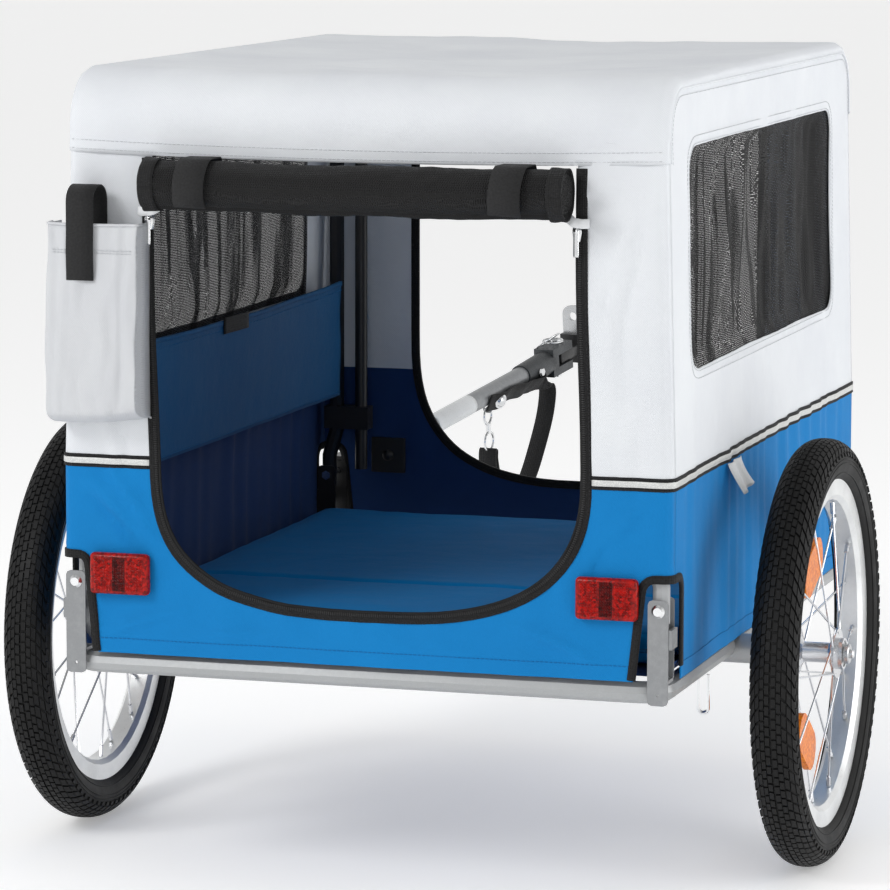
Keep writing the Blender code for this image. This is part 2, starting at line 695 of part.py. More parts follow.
def laced_hub(name, side):
    """Hub shell with its two flanges, the spokes and their nipples, laced up as one piece."""
    cup_in = BEARING_R + GAP
    shoulder = HUB_HALF_W - BEARING_W - 0.0020
    neck, cone = 0.0120, 0.0030
    bore = AXLE_R + GAP * 2
    low, high = FLANGE_X - FLANGE_T / 2, FLANGE_X + FLANGE_T / 2
    outside = [(HUB_CUP_R, HUB_HALF_W), (HUB_CUP_R, high), (FLANGE_R, high), (FLANGE_R, low),
               (HUB_CUP_R, low), (HUB_CUP_R, neck + cone), (HUB_BARREL_R, neck)]
    inside = [(bore, shoulder), (cup_in, shoulder), (cup_in, HUB_HALF_W)]
    profile = outside + [(r, -z) for r, z in outside[::-1]] + [(r, -z) for r, z in inside[::-1]] + inside
    lace = own(on_axle(turned(profile, 24, closed=True), side), name, "chrome")
    for k in range(SPOKES):
        inner, outer = spoke_ends(k)
        along = (outer - inner).normalized()
        spoke = rod(inner, outer - along * NIPPLE_LEN / 2, SPOKE_R, 6)
        nipple = rod(outer - along * NIPPLE_LEN, outer - along * SUNK, NIPPLE_R, 6)
        for piece in (spoke, nipple):
            piece.matrix_world = wheel_frame(side) @ piece.matrix_world
            boolean(lace, piece, "UNION")
    return lace


def bearing(name, side, place_out):
    """Sealed bearing, pressed into a hub cup."""
    recess = 0.0010
    middle = place_out * (HUB_HALF_W - recess - BEARING_W / 2)
    low, high = middle - BEARING_W / 2, middle + BEARING_W / 2
    profile = [(BEARING_R, high), (BEARING_R, low), (AXLE_R + GAP, low), (AXLE_R + GAP, high)]
    return own(on_axle(turned(profile, 20, closed=True), side), name, "steel")


def wheel_axle(name, side):
    """Plug-in axle with a capped outer end, bored for its release button."""
    inner = -(WHEEL_X - AXLE_TUBE_END) - SOCKET_DEPTH + 0.0040
    cap_low, chamfer, taper = HUB_HALF_W + GAP * 2, 0.0010, 0.0015
    cap = [(0.0, AXLE_CAP_END), (AXLE_CAP_R - chamfer, AXLE_CAP_END), (AXLE_CAP_R, AXLE_CAP_END - chamfer),
           (AXLE_CAP_R, cap_low)]
    profile = cap + [(AXLE_R, cap_low), (AXLE_R, inner + taper), (AXLE_R - taper, inner), (0.0, inner)]
    axle = own(on_axle(turned(profile, 24), side), name, "steel")
    low, high = AXLE_CAP_END - BUTTON_WELL, AXLE_CAP_END + BUTTON_WELL
    well = place(rod((0, 0, low), (0, 0, high), BUTTON_R + GAP, 20), wheel_frame(side))
    boolean(axle, well)
    return axle


def axle_button(name, side):
    """Release button that stands proud of the axle's cap and can be pressed level with it."""
    high, chamfer, clear = AXLE_CAP_END + BUTTON_TRAVEL + GAP * 2, 0.0008, 0.0010
    low = AXLE_CAP_END - BUTTON_WELL + BUTTON_TRAVEL + clear
    profile = [(0.0, high), (BUTTON_R - chamfer, high), (BUTTON_R, high - chamfer), (BUTTON_R, low),
               (0.0, low)]
    return own(on_axle(turned(profile, 20), side), name, "chrome")


def spoke_reflector(name, side, angle):
    """Oval lens clipped inside the lacing, set along the wheel's circumference."""
    half_l, half_w, depth = 0.0380, 0.0190, 0.0060
    outline = round_rect((-half_l, -half_w), (half_l, half_w), half_w * 0.95, 5)
    lens = sheet([outline], depth)
    spin = Matrix.Rotation(math.radians(side * angle), 4, "Z")
    spot = spin @ Matrix.Translation((0, REFLECTOR_SPOT_R, 0))
    lens.matrix_world = wheel_frame(side) @ spot @ lens.matrix_world
    own(lens, name, "amber_lens")
    clearance = 0.0016
    for k in range(SPOKES):
        spoke_cut = rod(*spoke_ends(k), clearance, 6)
        spoke_cut.matrix_world = wheel_frame(side) @ spoke_cut.matrix_world
        boolean(lens, spoke_cut)
    return lens


# ---- tow arm ----
def arm_frame():
    """Local +Z runs along the arm from its pivot, and local +Y points up."""
    along = (ARM_END - ARM_PIVOT).normalized()
    across = along.cross(Vector((0, 0, 1))).normalized()
    up = across.cross(along)
    basis = Matrix((-across, up, along)).transposed().to_4x4()
    return Matrix.Translation(ARM_PIVOT) @ basis


def pivot_bore(obj):
    """Bore the obj for the tow arm's pivot pin."""
    x, y, z = ARM_PIVOT
    boolean(obj, rod((x, y, z - DRILL), (x, y, z + DRILL), ARM_PIN_R + GAP, 16))


def arm_bracket():
    """Fork on the front left corner that holds the tow arm's pivot pin."""
    x, y, z = ARM_PIVOT
    wall = CABIN_FRONT + 0.0045
    half_w, steel_t, half_gap, foot_t = 0.0180, 0.0030, 0.0140, 0.0040
    under_rail = RAIL_Z - TUBE_R - GAP
    left, right, low = x - half_w, x + half_w, under_rail - foot_t
    plate = box((left, wall, low), (right, wall + steel_t, z + half_gap + steel_t))
    own(plate, "arm_bracket", "black_metal")
    foot = box((left, FRONT_Y - TUBE_R, low), (right, wall + steel_t / 2, under_rail))
    boolean(plate, foot, "UNION")
    past_pin, step = 0.0120, 0.0010
    for sign in (-1, 1):
        low, high = sorted((z + sign * half_gap, z + sign * (half_gap + steel_t)))
        cheek = box((left + step, wall + steel_t / 2, low), (right - step, y + past_pin, high))
        boolean(plate, cheek, "UNION")
    pivot_bore(plate)
    return plate


def arm_pivot_pin():
    """Pin with a round head above the fork and a nut below it."""
    x, y, z = ARM_PIVOT
    end, head_t, head_r = 0.0170 + GAP, 0.0030, 0.0070
    pin = own(rod((x, y, z + end), (x, y, z + end + head_t), head_r, 20), "arm_pivot_pin", "chrome")
    boolean(pin, rod((x, y, z - end - SUNK), (x, y, z + end + SUNK), ARM_PIN_R, 16), "UNION")
    boolean(pin, rod((x, y, z - end), (x, y, z - end - head_t), head_r, 6), "UNION")
    return pin


def bolt_bore(obj):
    """Bore the obj for the bolt that fixes the hitch socket to the arm."""
    at = ARM_LENGTH - SOCKET_OVERLAP / 2
    boolean(obj, place(rod((-DRILL, 0, at), (DRILL, 0, at), SOCKET_BOLT_R + GAP, 16), arm_frame()))


def tow_arm():
    """Straight tube, with the wire staple that the snap hook hangs from."""
    arm = place(rod((0, 0, -ARM_R), (0, 0, ARM_LENGTH), ARM_R, 24), arm_frame())
    own(arm, "tow_arm", "silver")
    pivot_bore(arm)
    bolt_bore(arm)
    half_w, drop, wire_r, at, root = 0.0045, -0.0200, 0.0012, ARM_LENGTH - STRAP_RING_AT, -ARM_R / 2
    corners = [(-half_w, root, at), (-half_w, drop, at), (half_w, drop, at), (half_w, root, at)]
    staple = rounded(corners, 0.0030, 3)
    boolean(arm, place(to_mesh(tube(staple, wire_r, 1)), arm_frame()), "UNION")
    return arm


def pin_bore(obj):
    """Bore the obj for the hitch pin."""
    at = ARM_LENGTH + HITCH_PIN_AT
    boolean(obj, place(rod((0, -DRILL, at), (0, DRILL, at), HITCH_PIN_R + GAP, 16), arm_frame()))


def hitch_socket():
    """Cast fork fixed over the end of the tow arm."""
    outer, taper, floor = ARM_R + SOCKET_WALL, 0.0015, 0.0100
    start, sleeve_end = ARM_LENGTH - SOCKET_OVERLAP, ARM_LENGTH + SOCKET_NECK
    socket = place(rod((0, 0, start), (0, 0, sleeve_end), outer - taper, 24, outer), arm_frame())
    own(socket, "hitch_socket", "grey_cast")
    block = box((-FORK_HALF_W, -FORK_HALF_H, sleeve_end - floor / 2),
                (FORK_HALF_W, FORK_HALF_H, sleeve_end + FORK_L))
    boolean(socket, place(block, arm_frame()), "UNION")
    slot = box((-DRILL, -FORK_SLOT_HALF, sleeve_end + floor),
               (DRILL, FORK_SLOT_HALF, sleeve_end + FORK_L + DRILL))
    boolean(socket, place(slot, arm_frame()))
    bore = rod((0, 0, start - DRILL), (0, 0, ARM_LENGTH + GAP), ARM_R + GAP, 24)
    boolean(socket, place(bore, arm_frame()))
    pin_bore(socket)
    bolt_bore(socket)
    return socket


def hitch_pin():
    """Headed pin that drops through the fork and the coupler."""
    at = ARM_LENGTH + HITCH_PIN_AT
    top, bottom, head_r, head_t = FORK_HALF_H + GAP, -0.0240, 0.0070, 0.0040
    pin = place(rod((0, top, at), (0, top + head_t, at), head_r, 20), arm_frame())
    own(pin, "hitch_pin", "chrome")
    boolean(pin, place(rod((0, bottom, at), (0, top + SUNK, at), HITCH_PIN_R, 16), arm_frame()), "UNION")
    ring_r, wire_r, proud = 0.0120, 0.0011, 0.0004
    turns = [2 * math.pi * k / 20 for k in range(20)]
    middle = at - ring_r * 0.9
    ring = [(ring_r * math.sin(a), top + head_t + proud, middle + ring_r * math.cos(a)) for a in turns]
    boolean(pin, place(to_mesh(tube(ring, wire_r, 1, closed=True)), arm_frame()), "UNION")
    return pin


def hitch_coupler():
    """Tongue in the fork, rubber-mounted arm plate and the eye that goes on the bicycle's axle."""
    at = ARM_LENGTH + HITCH_PIN_AT
    tongue_half, tongue_w = 0.0064, 0.0110
    neck_end = at + COUPLER_NECK
    tongue = box((-tongue_w, -tongue_half, at - tongue_w), (tongue_w, tongue_half, neck_end))
    bevel(tongue, 0.0025, 2)
    place(tongue, arm_frame())
    own(tongue, "hitch_coupler", "black_metal")
    plate_w = COUPLER_PLATE_H * 0.82
    plate = box((-plate_w, -COUPLER_PLATE_H, neck_end - 2 * SUNK),
                (plate_w, COUPLER_PLATE_H, neck_end + COUPLER_PLATE_T))
    boolean(tongue, place(plate, arm_frame()), "UNION")
    pin_bore(tongue)
    return tongue


def axle_eye():
    """Flat steel eye that clamps under the bicycle's axle nut."""
    at = ARM_LENGTH + HITCH_PIN_AT + COUPLER_NECK + COUPLER_PLATE_T + GAP
    half_w, top = 0.0130, 0.0500
    outline = round_rect((-half_w, -COUPLER_PLATE_H), (half_w, top), 0.0100, 4)
    hole = [(p.x, p.y) for p in arc((0, top - half_w), EYE_HOLE_R, 0, 337.5, 15)]
    eye = sheet([outline, hole], EYE_PLATE_T)
    eye.matrix_world = arm_frame() @ Matrix.Translation((0, 0, at + EYE_PLATE_T / 2))
    return own(eye, "axle_eye", "steel")


def socket_bolt():
    """Cross bolt with a domed cap that fixes the hitch socket to the arm."""
    at, reach, head_r, head_t = ARM_LENGTH - SOCKET_OVERLAP / 2, ARM_R + SOCKET_WALL + GAP, 0.0060, 0.0030
    bolt = place(rod((reach, 0, at), (reach + head_t, 0, at), head_r, 20, head_r * 0.6), arm_frame())
    own(bolt, "socket_bolt", "chrome")
    shank = rod((-reach - SUNK, 0, at), (reach + SUNK, 0, at), SOCKET_BOLT_R, 16)
    boolean(bolt, place(shank, arm_frame()), "UNION")
    nut = rod((-reach, 0, at), (-reach - head_t, 0, at), head_r * 0.8, 6)
    boolean(bolt, place(nut, arm_frame()), "UNION")
    return bolt


def arm_strip():
    """Local (along, up) plane of the arm, for straps that hang in it."""
    return arm_frame() @ Matrix(((0, 0, 1), (0, 1, 0), (1, 0, 0))).to_4x4()


def safety_strap():
    """Webbing that hangs in a loop from the hitch end of the arm back to the snap hook's ring."""
    end = ARM_LENGTH
    under = -(ARM_R + SOCKET_WALL + 0.0040)
    path = [(end - 0.1280, under), (end - 0.0600, under - 0.0020), (end + 0.0200, under - 0.0010),
            (end + 0.0240, -0.0480), (end - 0.0100, -0.0950), (end - 0.0800, -0.1400),
            (end - 0.1350, -0.1300), (end - STRAP_RING_AT, -0.0930)]
    bends = rounded([(a, b, 0) for a, b in path], 0.0070, 3)
    strap = sheet([ribbon([(p.x, p.y) for p in bends], STRAP_T)], STRAP_W)
    strap.matrix_world = arm_strip()
    return own(strap, "safety_strap", "black_webbing")


def snap_hook():
    """Swivel snap hook that hangs from the arm: an eye, a shank and a hooked ring, bent from one wire."""
    wire_r, shank_r, shank_l = 0.0017, 0.0028, 0.0095
    eye_r, ring_r = 0.0095, 0.0110
    shank_top = HOOK_TOP - 2 * eye_r
    shank_low = shank_top - shank_l
    eye = [(p.x, p.y, 0) for p in arc((0, HOOK_TOP - eye_r), eye_r, -90, 270, 16)]
    ring = [(p.x, p.y, 0) for p in arc((0, shank_low - ring_r), ring_r, 90, 450, 16)]
    hook = to_mesh(tube(eye[:-1], wire_r, 2, closed=True))
    own(hook, "snap_hook", "chrome")
    shank = rod((0, shank_top + wire_r / 2, 0), (0, shank_low - wire_r / 2, 0), shank_r, 12)
    boolean(hook, shank, "UNION")
    boolean(hook, to_mesh(tube(ring[:-1], wire_r, 2, closed=True)), "UNION")
    turn = arm_strip() @ Matrix.Translation((ARM_LENGTH - STRAP_RING_AT, 0, 0))
    hook.matrix_world = turn
    for mod in hook.modifiers:
        mod.object.matrix_world = turn @ mod.object.matrix_world
    return hook


# ---- build ----
def build_chassis():
    base_frame()
    for end, where in ((-1, "rear"), (1, "front")):
        for side, hand in HANDS.items():
            leg_y = HOOP_ENDS[side][0 if end < 0 else 1]
            corner_bracket(f"bracket_{where}_{hand}", side, end, leg_y)
            pivot_screw(f"pivot_screw_{where}_{hand}", side, end, leg_y)
    tie_down_loop()
    arm_bracket()
    arm_pivot_pin()


def build_cabin():
    floor_tub()
    floor_mat()
    end_wall("rear_wall", -1, DOOR_HALF_W, DOOR_BOTTOM)
    end_wall("front_wall", 1, FRONT_DOOR_HALF_W, FRONT_DOOR_BOTTOM)
    roof_cover()
    rear_door_roll()
    storage_pocket()
    wall_pocket()
    for side, hand in HANDS.items():
        side_panel(f"side_panel_{hand}", side)
        window_mesh(f"window_mesh_{hand}", side)
        rear_reflector(f"rear_reflector_{hand}", side)
        zip_slider(f"zip_slider_{hand}", side)


def build_folding_sides():
    for side, hand in HANDS.items():
        hoop(f"hoop_{hand}", side, HOOP_ENDS[side])
        stay(f"front_stay_{hand}", side, HOOP_ENDS[side][1])


def build_wheels():
    for side, hand in HANDS.items():
        tyre(f"tyre_{hand}", side)
        rim(f"rim_{hand}", side)
        laced_hub(f"laced_hub_{hand}", side)
        bearing(f"bearing_inner_{hand}", side, -1)
        bearing(f"bearing_outer_{hand}", side, 1)
        wheel_axle(f"wheel_axle_{hand}", side)
        axle_button(f"axle_button_{hand}", side)
        for place_name, angle in REFLECTOR_ANGLES[side].items():
            spoke_reflector(f"spoke_reflector_{place_name}_{hand}", side, angle)


def build_tow_arm():
    tow_arm()
    hitch_socket()
    socket_bolt()
    hitch_pin()
    hitch_coupler()
    axle_eye()
    safety_strap()
    snap_hook()


def reach_along_y(obj, graph):
    """Rearmost and foremost Y of an object, with its cuts made."""
    shape = obj.evaluated_get(graph)
    across = [(obj.matrix_world @ vert.co).y for vert in shape.to_mesh().vertices]
    shape.to_mesh_clear()
    return min(across), max(across)


def centre_on_origin():
    """Moves everything along Y so that the origin is on the ground under the middle of the whole trailer."""
    bpy.context.view_layer.update()
    graph = bpy.context.evaluated_depsgraph_get()
    ends = [y for obj in PARTS.objects for y in reach_along_y(obj, graph)]
    shift = Matrix.Translation((0, -(min(ends) + max(ends)) / 2, 0))
    for obj in list(PARTS.objects) + list(CUTTERS.objects):
        obj.matrix_world = shift @ obj.matrix_world


clear_scene()
PARTS = new_collection("pet_trailer")
CUTTERS = new_collection("cutters", hidden=True)
build_chassis()
build_cabin()
build_folding_sides()
build_wheels()
build_tow_arm()
centre_on_origin()
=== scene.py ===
"""Looks of the pet trailer: its sewn cover, mesh, tyres and finishes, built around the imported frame."""
import math

import bmesh
import bpy
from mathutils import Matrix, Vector, noise


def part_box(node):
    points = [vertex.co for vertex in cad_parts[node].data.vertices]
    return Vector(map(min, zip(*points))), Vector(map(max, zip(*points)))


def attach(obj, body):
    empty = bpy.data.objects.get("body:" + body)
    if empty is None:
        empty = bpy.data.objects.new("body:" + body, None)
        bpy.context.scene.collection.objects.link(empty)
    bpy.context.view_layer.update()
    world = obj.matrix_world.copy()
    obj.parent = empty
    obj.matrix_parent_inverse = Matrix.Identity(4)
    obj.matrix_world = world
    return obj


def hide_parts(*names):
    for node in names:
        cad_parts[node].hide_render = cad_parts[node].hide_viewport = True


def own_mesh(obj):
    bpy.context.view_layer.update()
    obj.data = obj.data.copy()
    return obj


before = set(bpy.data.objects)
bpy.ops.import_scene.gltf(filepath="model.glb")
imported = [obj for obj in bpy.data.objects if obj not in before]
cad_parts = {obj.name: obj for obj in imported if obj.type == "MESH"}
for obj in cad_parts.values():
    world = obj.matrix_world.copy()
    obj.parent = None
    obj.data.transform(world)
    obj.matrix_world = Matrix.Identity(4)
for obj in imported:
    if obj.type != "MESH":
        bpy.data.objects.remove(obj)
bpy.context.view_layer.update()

# ---- places read from the frame (metres) ----
ROOF_LOW, ROOF_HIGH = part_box("roof_cover")
CABIN_X = ROOF_HIGH.x
REAR_Y = ROOF_LOW.y
FRONT_Y = ROOF_HIGH.y
TOP_Z = ROOF_HIGH.z
MIDDLE_Y = (REAR_Y + FRONT_Y) / 2
CABIN_L = FRONT_Y - REAR_Y
AXLE = sum(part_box("wheel_axle_right"), Vector()) / 2
AXLE_Y = AXLE.y
AXLE_Z = AXLE.z
TYRE_LOW, TYRE_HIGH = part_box("tyre_right")
WHEEL_X = (TYRE_LOW.x + TYRE_HIGH.x) / 2
WHEEL_R = (TYRE_HIGH.z - TYRE_LOW.z) / 2
FRAME_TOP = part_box("bracket_rear_right")[1].z

# ---- sizes of the sewn cover ----
CORNER_R = 0.010            # upright corners of the walls, and the roof's long edges
ROOF_BEND_R = 0.050         # the roof bends down into its flaps
FLAP_Z = 0.6720             # lower edge of the roof's flaps, at the corners
FLAP_SAG = 0.0050
HEM_Z = 0.2140
STRIPE_Z = 0.3902
STRIPE_W = 0.0120
CLOTH_T = 0.0009
PANEL_STEP = 0.0065         # spacing of the points across a cloth panel
WEAVE_PITCH = 0.0011
WALL_STITCH = (0.0042, (0.0030, 0.0006, 0.0004))    # pitch, then a stitch's length, width and height
FINE_STITCH = (0.0040, (0.0029, 0.0006, 0.0004))
COVER_TOP = 0.690           # the end walls run up to here, under the roof's flaps
ROOF_SAG = 0.0085
LEAN = 0.0085               # the side walls lean in this far by the roof
DOOR_HALF_W = 0.1985
DOOR_BOTTOM = 0.2635
FRONT_HALF_W = 0.1880
FRONT_BOTTOM = 0.2730
FRONT_CORNER_H = 0.1600
DOOR_TOP = 0.6720
TAPE_TOP = 0.6670           # the tapes beside the openings end here
DOOR_CORNER_H = 0.1350
DOOR_POWER = 2.8            # squareness of a door's lower corners
CUTOUT_X = 0.2520           # corner cut-outs, for the hinge brackets
FRONT_CUTOUT_X = 0.2600     # the same on the front wall
CUTOUT_Z = 0.3050
CUTOUT_DEPTH = 0.0330
CUTOUT_R = 0.0110
CUTOUT_SLANT = 0.0085       # the cut-outs of the end walls are narrower at their tops
WINDOW_Y = (REAR_Y + 0.0815, FRONT_Y - 0.0945)
WINDOW_Z = (0.4820, 0.6820)
WINDOW_R = 0.0280
WINDOW_LAP = 0.0060         # the mesh reaches this far under the wall
HANDS = {"left": -1, "right": 1}


# ---- node helpers ----
def srgb(red, green, blue):
    """Linear colour of 0-255 screen values."""
    def linear(value):
        value /= 255
        return value / 12.92 if value <= 0.04045 else ((value + 0.055) / 1.055) ** 2.4
    return (linear(red), linear(green), linear(blue), 1.0)


class Graph:
    """Small builder for a material's nodes."""

    def __init__(self, name):
        self.material = bpy.data.materials.new(name)
        self.material.use_nodes = True
        self.tree = self.material.node_tree
        self.shader = self.tree.nodes["Principled BSDF"]
        self.output = self.tree.nodes["Material Output"]

    def put(self, node, key, value):
        socket = node.inputs[key]
        if isinstance(value, bpy.types.NodeSocket):
            self.tree.links.new(value, socket)
        else:
            socket.default_value = value

    def node(self, kind, values=None, **settings):
        made = self.tree.nodes.new("ShaderNode" + kind)
        for key, value in settings.items():
            setattr(made, key, value)
        for key, value in (values or {}).items():
            self.put(made, key, value)
        return made

    def set(self, **values):
        for key, value in values.items():
            self.put(self.shader, key.replace("_", " "), value)

    def coords(self, kind="Object"):
        return self.node("TexCoord").outputs[kind]

    def math(self, operation, a, b=0.0, c=0.0):
        return self.node("Math", {0: a, 1: b, 2: c}, operation=operation).outputs[0]

    def split(self, vector):
        return self.node("SeparateXYZ", {0: vector}).outputs

    def noise(self, vector, scale, detail=3.0, rough=0.55):
        values = {"Vector": vector, "Scale": scale, "Detail": detail, "Roughness": rough}
        return self.node("TexNoise", values).outputs["Fac"]

    def mix(self, factor, a, b, blend="MIX"):
        made = self.node("Mix", data_type="RGBA", blend_type=blend)
        for key, value in ((0, factor), (6, a), (7, b)):
            self.put(made, key, value)
        return made.outputs[2]

    def span(self, value, low, high, to_low=0.0, to_high=1.0):
        return self.node("MapRange", {0: value, 1: low, 2: high, 3: to_low, 4: to_high}).outputs[0]

    def bump(self, height, strength, distance, under=None):
        values = {"Strength": strength, "Distance": distance, "Height": height}
        if under is not None:
            values["Normal"] = under
        return self.node("Bump", values).outputs[0]


def scaled(colour, factor):
    return tuple(min(1.0, channel * factor) for channel in colour[:3]) + (1.0,)


# ---- materials ----
def weave_height(g, u, v, pitch):
    """Plain weave: threads going over and under each other."""
    across = g.math("SINE", g.math("MULTIPLY", u, math.pi / pitch))
    along = g.math("SINE", g.math("MULTIPLY", v, math.pi / pitch))
    return g.math("MULTIPLY", across, along)


def cloth(name, colour, uv=True, second=None, shine=0.22):
    """Coated woven cloth. With second, the cloth below the stripe has that colour instead."""
    g = Graph(name)
    place = g.coords("UV" if uv else "Object")
    u, v, w = g.split(place)
    if not uv:
        u, v = g.math("ADD", u, v), w
    if second is not None:
        colour = g.mix(g.math("LESS_THAN", v, STRIPE_Z), colour, second)
    cloud = g.noise(place, 7.0, 4.0)
    fine = g.noise(place, 900.0, 2.0)
    shade = g.mix(g.span(cloud, 0.3, 0.7), (0.94, 0.94, 0.95, 1), (1.04, 1.04, 1.03, 1))
    tint = g.mix(1.0, colour, shade, "MULTIPLY")
    threads = weave_height(g, u, v, WEAVE_PITCH)
    # The hollows between the threads are painted a little darker: painted shade.
    base = g.mix(g.span(threads, -1.0, 1.0, 0.14, 0.0), tint, (0.45, 0.45, 0.47, 1), "MULTIPLY")
    folds = g.bump(g.noise(place, 26.0, 5.0), 0.6, 0.0030)
    g.set(Base_Color=base, Roughness=g.span(fine, 0.2, 0.8, 0.68, 0.86), Sheen_Weight=0.05,
          Sheen_Roughness=0.4, Specular_IOR_Level=shine, Normal=g.bump(threads, 0.30, 0.00035, folds))
    return g.material


def webbing(name, colour, pitch):
    """Flat woven tape with diagonal ribs."""
    g = Graph(name)
    place = g.coords("UV")
    u, v, _ = g.split(place)
    ribs = weave_height(g, g.math("ADD", u, v), g.math("SUBTRACT", u, v), pitch)
    speck = g.noise(place, 500.0, 2.0)
    # The colour follows the ribs: painted highlight on their tops and painted shade in the hollows between
    # them.
    g.set(Base_Color=g.mix(g.span(ribs, -1.0, 1.0), scaled(colour, 0.55), scaled(colour, 1.5)),
          Roughness=g.span(speck, 0.3, 0.7, 0.6, 0.85), Sheen_Weight=0.04, Specular_IOR_Level=0.3,
          Normal=g.bump(ribs, 0.5, 0.0005))
    return g.material


def open_mesh(name, colour, pitch, cover, bright, opaque=False):
    """Knitted mesh. Its holes let light through, unless it is rolled up in many layers."""
    g = Graph(name)
    place = g.coords("UV")
    u, v, _ = g.split(place)
    sway = g.math("MULTIPLY", g.math("SINE", g.math("MULTIPLY", v, math.pi / pitch)), pitch / 5)
    cells = weave_height(g, g.math("ADD", u, sway), v, pitch)
    upright = g.node("Mapping", {"Vector": place, "Scale": (1.0, 0.10, 1.0)}).outputs[0]
    pleats = g.span(g.noise(upright, 30.0, 2.0), 0.52, 0.60, 0.0, 0.14)
    hole = g.math("GREATER_THAN", g.math("ABSOLUTE", cells), g.math("ADD", cover, pleats))
    speck = g.span(g.noise(place, 700.0, 2.0), 0.3, 0.7)
    base = g.mix(speck, colour, scaled(colour, bright))
    # Rolled up, the holes are painted dark as the shade between the inner layers, and let no light through.
    if opaque:
        base = g.mix(hole, base, scaled(colour, 0.25))
        hole = 0.0
    g.set(Base_Color=base, Roughness=0.66, Sheen_Weight=0.03, Specular_IOR_Level=0.3,
          Alpha=g.math("SUBTRACT", 1.0, hole), Normal=g.bump(g.math("ABSOLUTE", cells), 0.9, 0.0012))
    return g.material


def painted(name, colour, metallic=0.0, rough=0.40, flake=0.0, wear=0.0, lower=None):
    """Sprayed or powder-coated metal with orange peel, worn a little brighter on its edges.

    With lower, the rear legs have that colour up to just above their pivots."""
    g = Graph(name)
    place = g.coords()
    peel = g.noise(place, 420.0, 3.0)
    cloud = g.noise(place, 9.0, 4.0)
    edges = g.span(g.node("NewGeometry").outputs["Pointiness"], 0.53, 0.65)
    spots = g.math("MULTIPLY", edges, g.span(g.noise(place, 160.0, 4.0), 0.45, 0.7))
    dark, light = (0.96, 1.04) if lower is None else (0.93, 1.06)
    base = g.mix(g.span(cloud, 0.3, 0.7), scaled(colour, dark), scaled(colour, light))
    if lower is not None:
        _, y, z = g.split(place)
        leg = g.math("MULTIPLY", g.math("LESS_THAN", z, FRAME_TOP + 0.030), g.math("LESS_THAN", y, AXLE_Y))
        base = g.mix(leg, base, lower)
    if flake:
        glitter = g.node("TexVoronoi", {"Vector": place, "Scale": 1500.0}).outputs["Color"]
        spark = g.span(g.split(glitter)[0], 0.75, 1.0)
        base = g.mix(g.math("MULTIPLY", spark, flake), base, scaled(colour, 1.6))
    base = g.mix(g.math("MULTIPLY", spots, wear), base, (0.72, 0.73, 0.74, 1))
    g.set(Base_Color=base, Metallic=metallic, Roughness=g.span(peel, 0.3, 0.7, rough - 0.07, rough + 0.09),
          Normal=g.bump(peel, 0.25, 0.0003))
    return g.material


def bare_metal(name, colour, rough):
    """Plated or polished metal with fine scratches, dull in places."""
    g = Graph(name)
    place = g.coords()
    scratch = g.noise(place, 900.0, 4.0, 0.7)
    cloud = g.noise(place, 24.0, 4.0)
    base = g.mix(g.span(cloud, 0.35, 0.65), scaled(colour, 0.86), colour)
    rougher = g.math("ADD", g.span(scratch, 0.3, 0.7, rough * 0.6, rough * 1.5),
                     g.span(cloud, 0.5, 0.8, 0.0, 0.08))
    g.set(Base_Color=base, Metallic=1.0, Roughness=rougher, Normal=g.bump(scratch, 0.12, 0.0002))
    return g.material


def cast_metal(name, colour):
    g = Graph(name)
    place = g.coords()
    sand = g.noise(place, 650.0, 4.0, 0.7)
    cloud = g.noise(place, 40.0, 3.0)
    g.set(Base_Color=g.mix(g.span(cloud, 0.3, 0.7), scaled(colour, 0.8), scaled(colour, 1.25)), Metallic=0.75,
          Roughness=g.span(sand, 0.3, 0.7, 0.35, 0.6), Normal=g.bump(sand, 0.6, 0.0006))
    return g.material


def rubber(name):
    g = Graph(name)
    place = g.coords()
    dust = g.noise(place, 30.0, 5.0)
    fine = g.noise(place, 700.0, 3.0)
    base = g.mix(g.span(dust, 0.45, 0.75), (0.0030, 0.0030, 0.0032, 1), (0.0082, 0.0082, 0.0080, 1))
    g.set(Base_Color=base, Roughness=g.span(dust, 0.3, 0.7, 0.50, 0.70), Specular_IOR_Level=0.27,
          Normal=g.bump(fine, 0.25, 0.0004))
    return g.material


def lens(name, colour, dark):
    """Moulded reflector plastic with small prisms under a clear face."""
    g = Graph(name)
    place = g.coords()
    cell = g.node("TexVoronoi", {"Vector": place, "Scale": 420.0}, feature="F1")
    tone = g.span(g.split(cell.outputs["Color"])[0], 0.0, 1.0)
    # The faint emission of the lens's own colour is a painted glow: it stands in for the light the reflector
    # sends back.
    g.set(Base_Color=g.mix(tone, dark, colour), Roughness=0.28, Coat_Weight=0.05, Coat_Roughness=0.08,
          Specular_IOR_Level=0.20, Emission_Color=colour, Emission_Strength=0.06,
          Normal=g.bump(cell.outputs["Distance"], 0.4, 0.0006))
    return g.material


def moulded(name, colour, rough=0.45):
    g = Graph(name)
    place = g.coords()
    spark = g.noise(place, 800.0, 3.0)
    cloud = g.noise(place, 12.0, 3.0)
    g.set(Base_Color=g.mix(g.span(cloud, 0.3, 0.7), scaled(colour, 0.85), scaled(colour, 1.15)),
          Roughness=g.span(spark, 0.3, 0.7, rough - 0.06, rough + 0.1), Normal=g.bump(spark, 0.25, 0.0003))
    return g.material


def reflective_tape(name):
    """Silver tape with a fine honeycomb of glass beads."""
    g = Graph(name)
    place = g.coords("UV")
    cell = g.node("TexVoronoi", {"Vector": place, "Scale": 900.0}).outputs["Distance"]
    g.set(Base_Color=g.mix(g.span(cell, 0.0, 0.6), srgb(226, 226, 222), srgb(196, 197, 196)), Metallic=0.15,
          Roughness=0.42, Normal=g.bump(cell, 0.2, 0.0002))
    return g.material


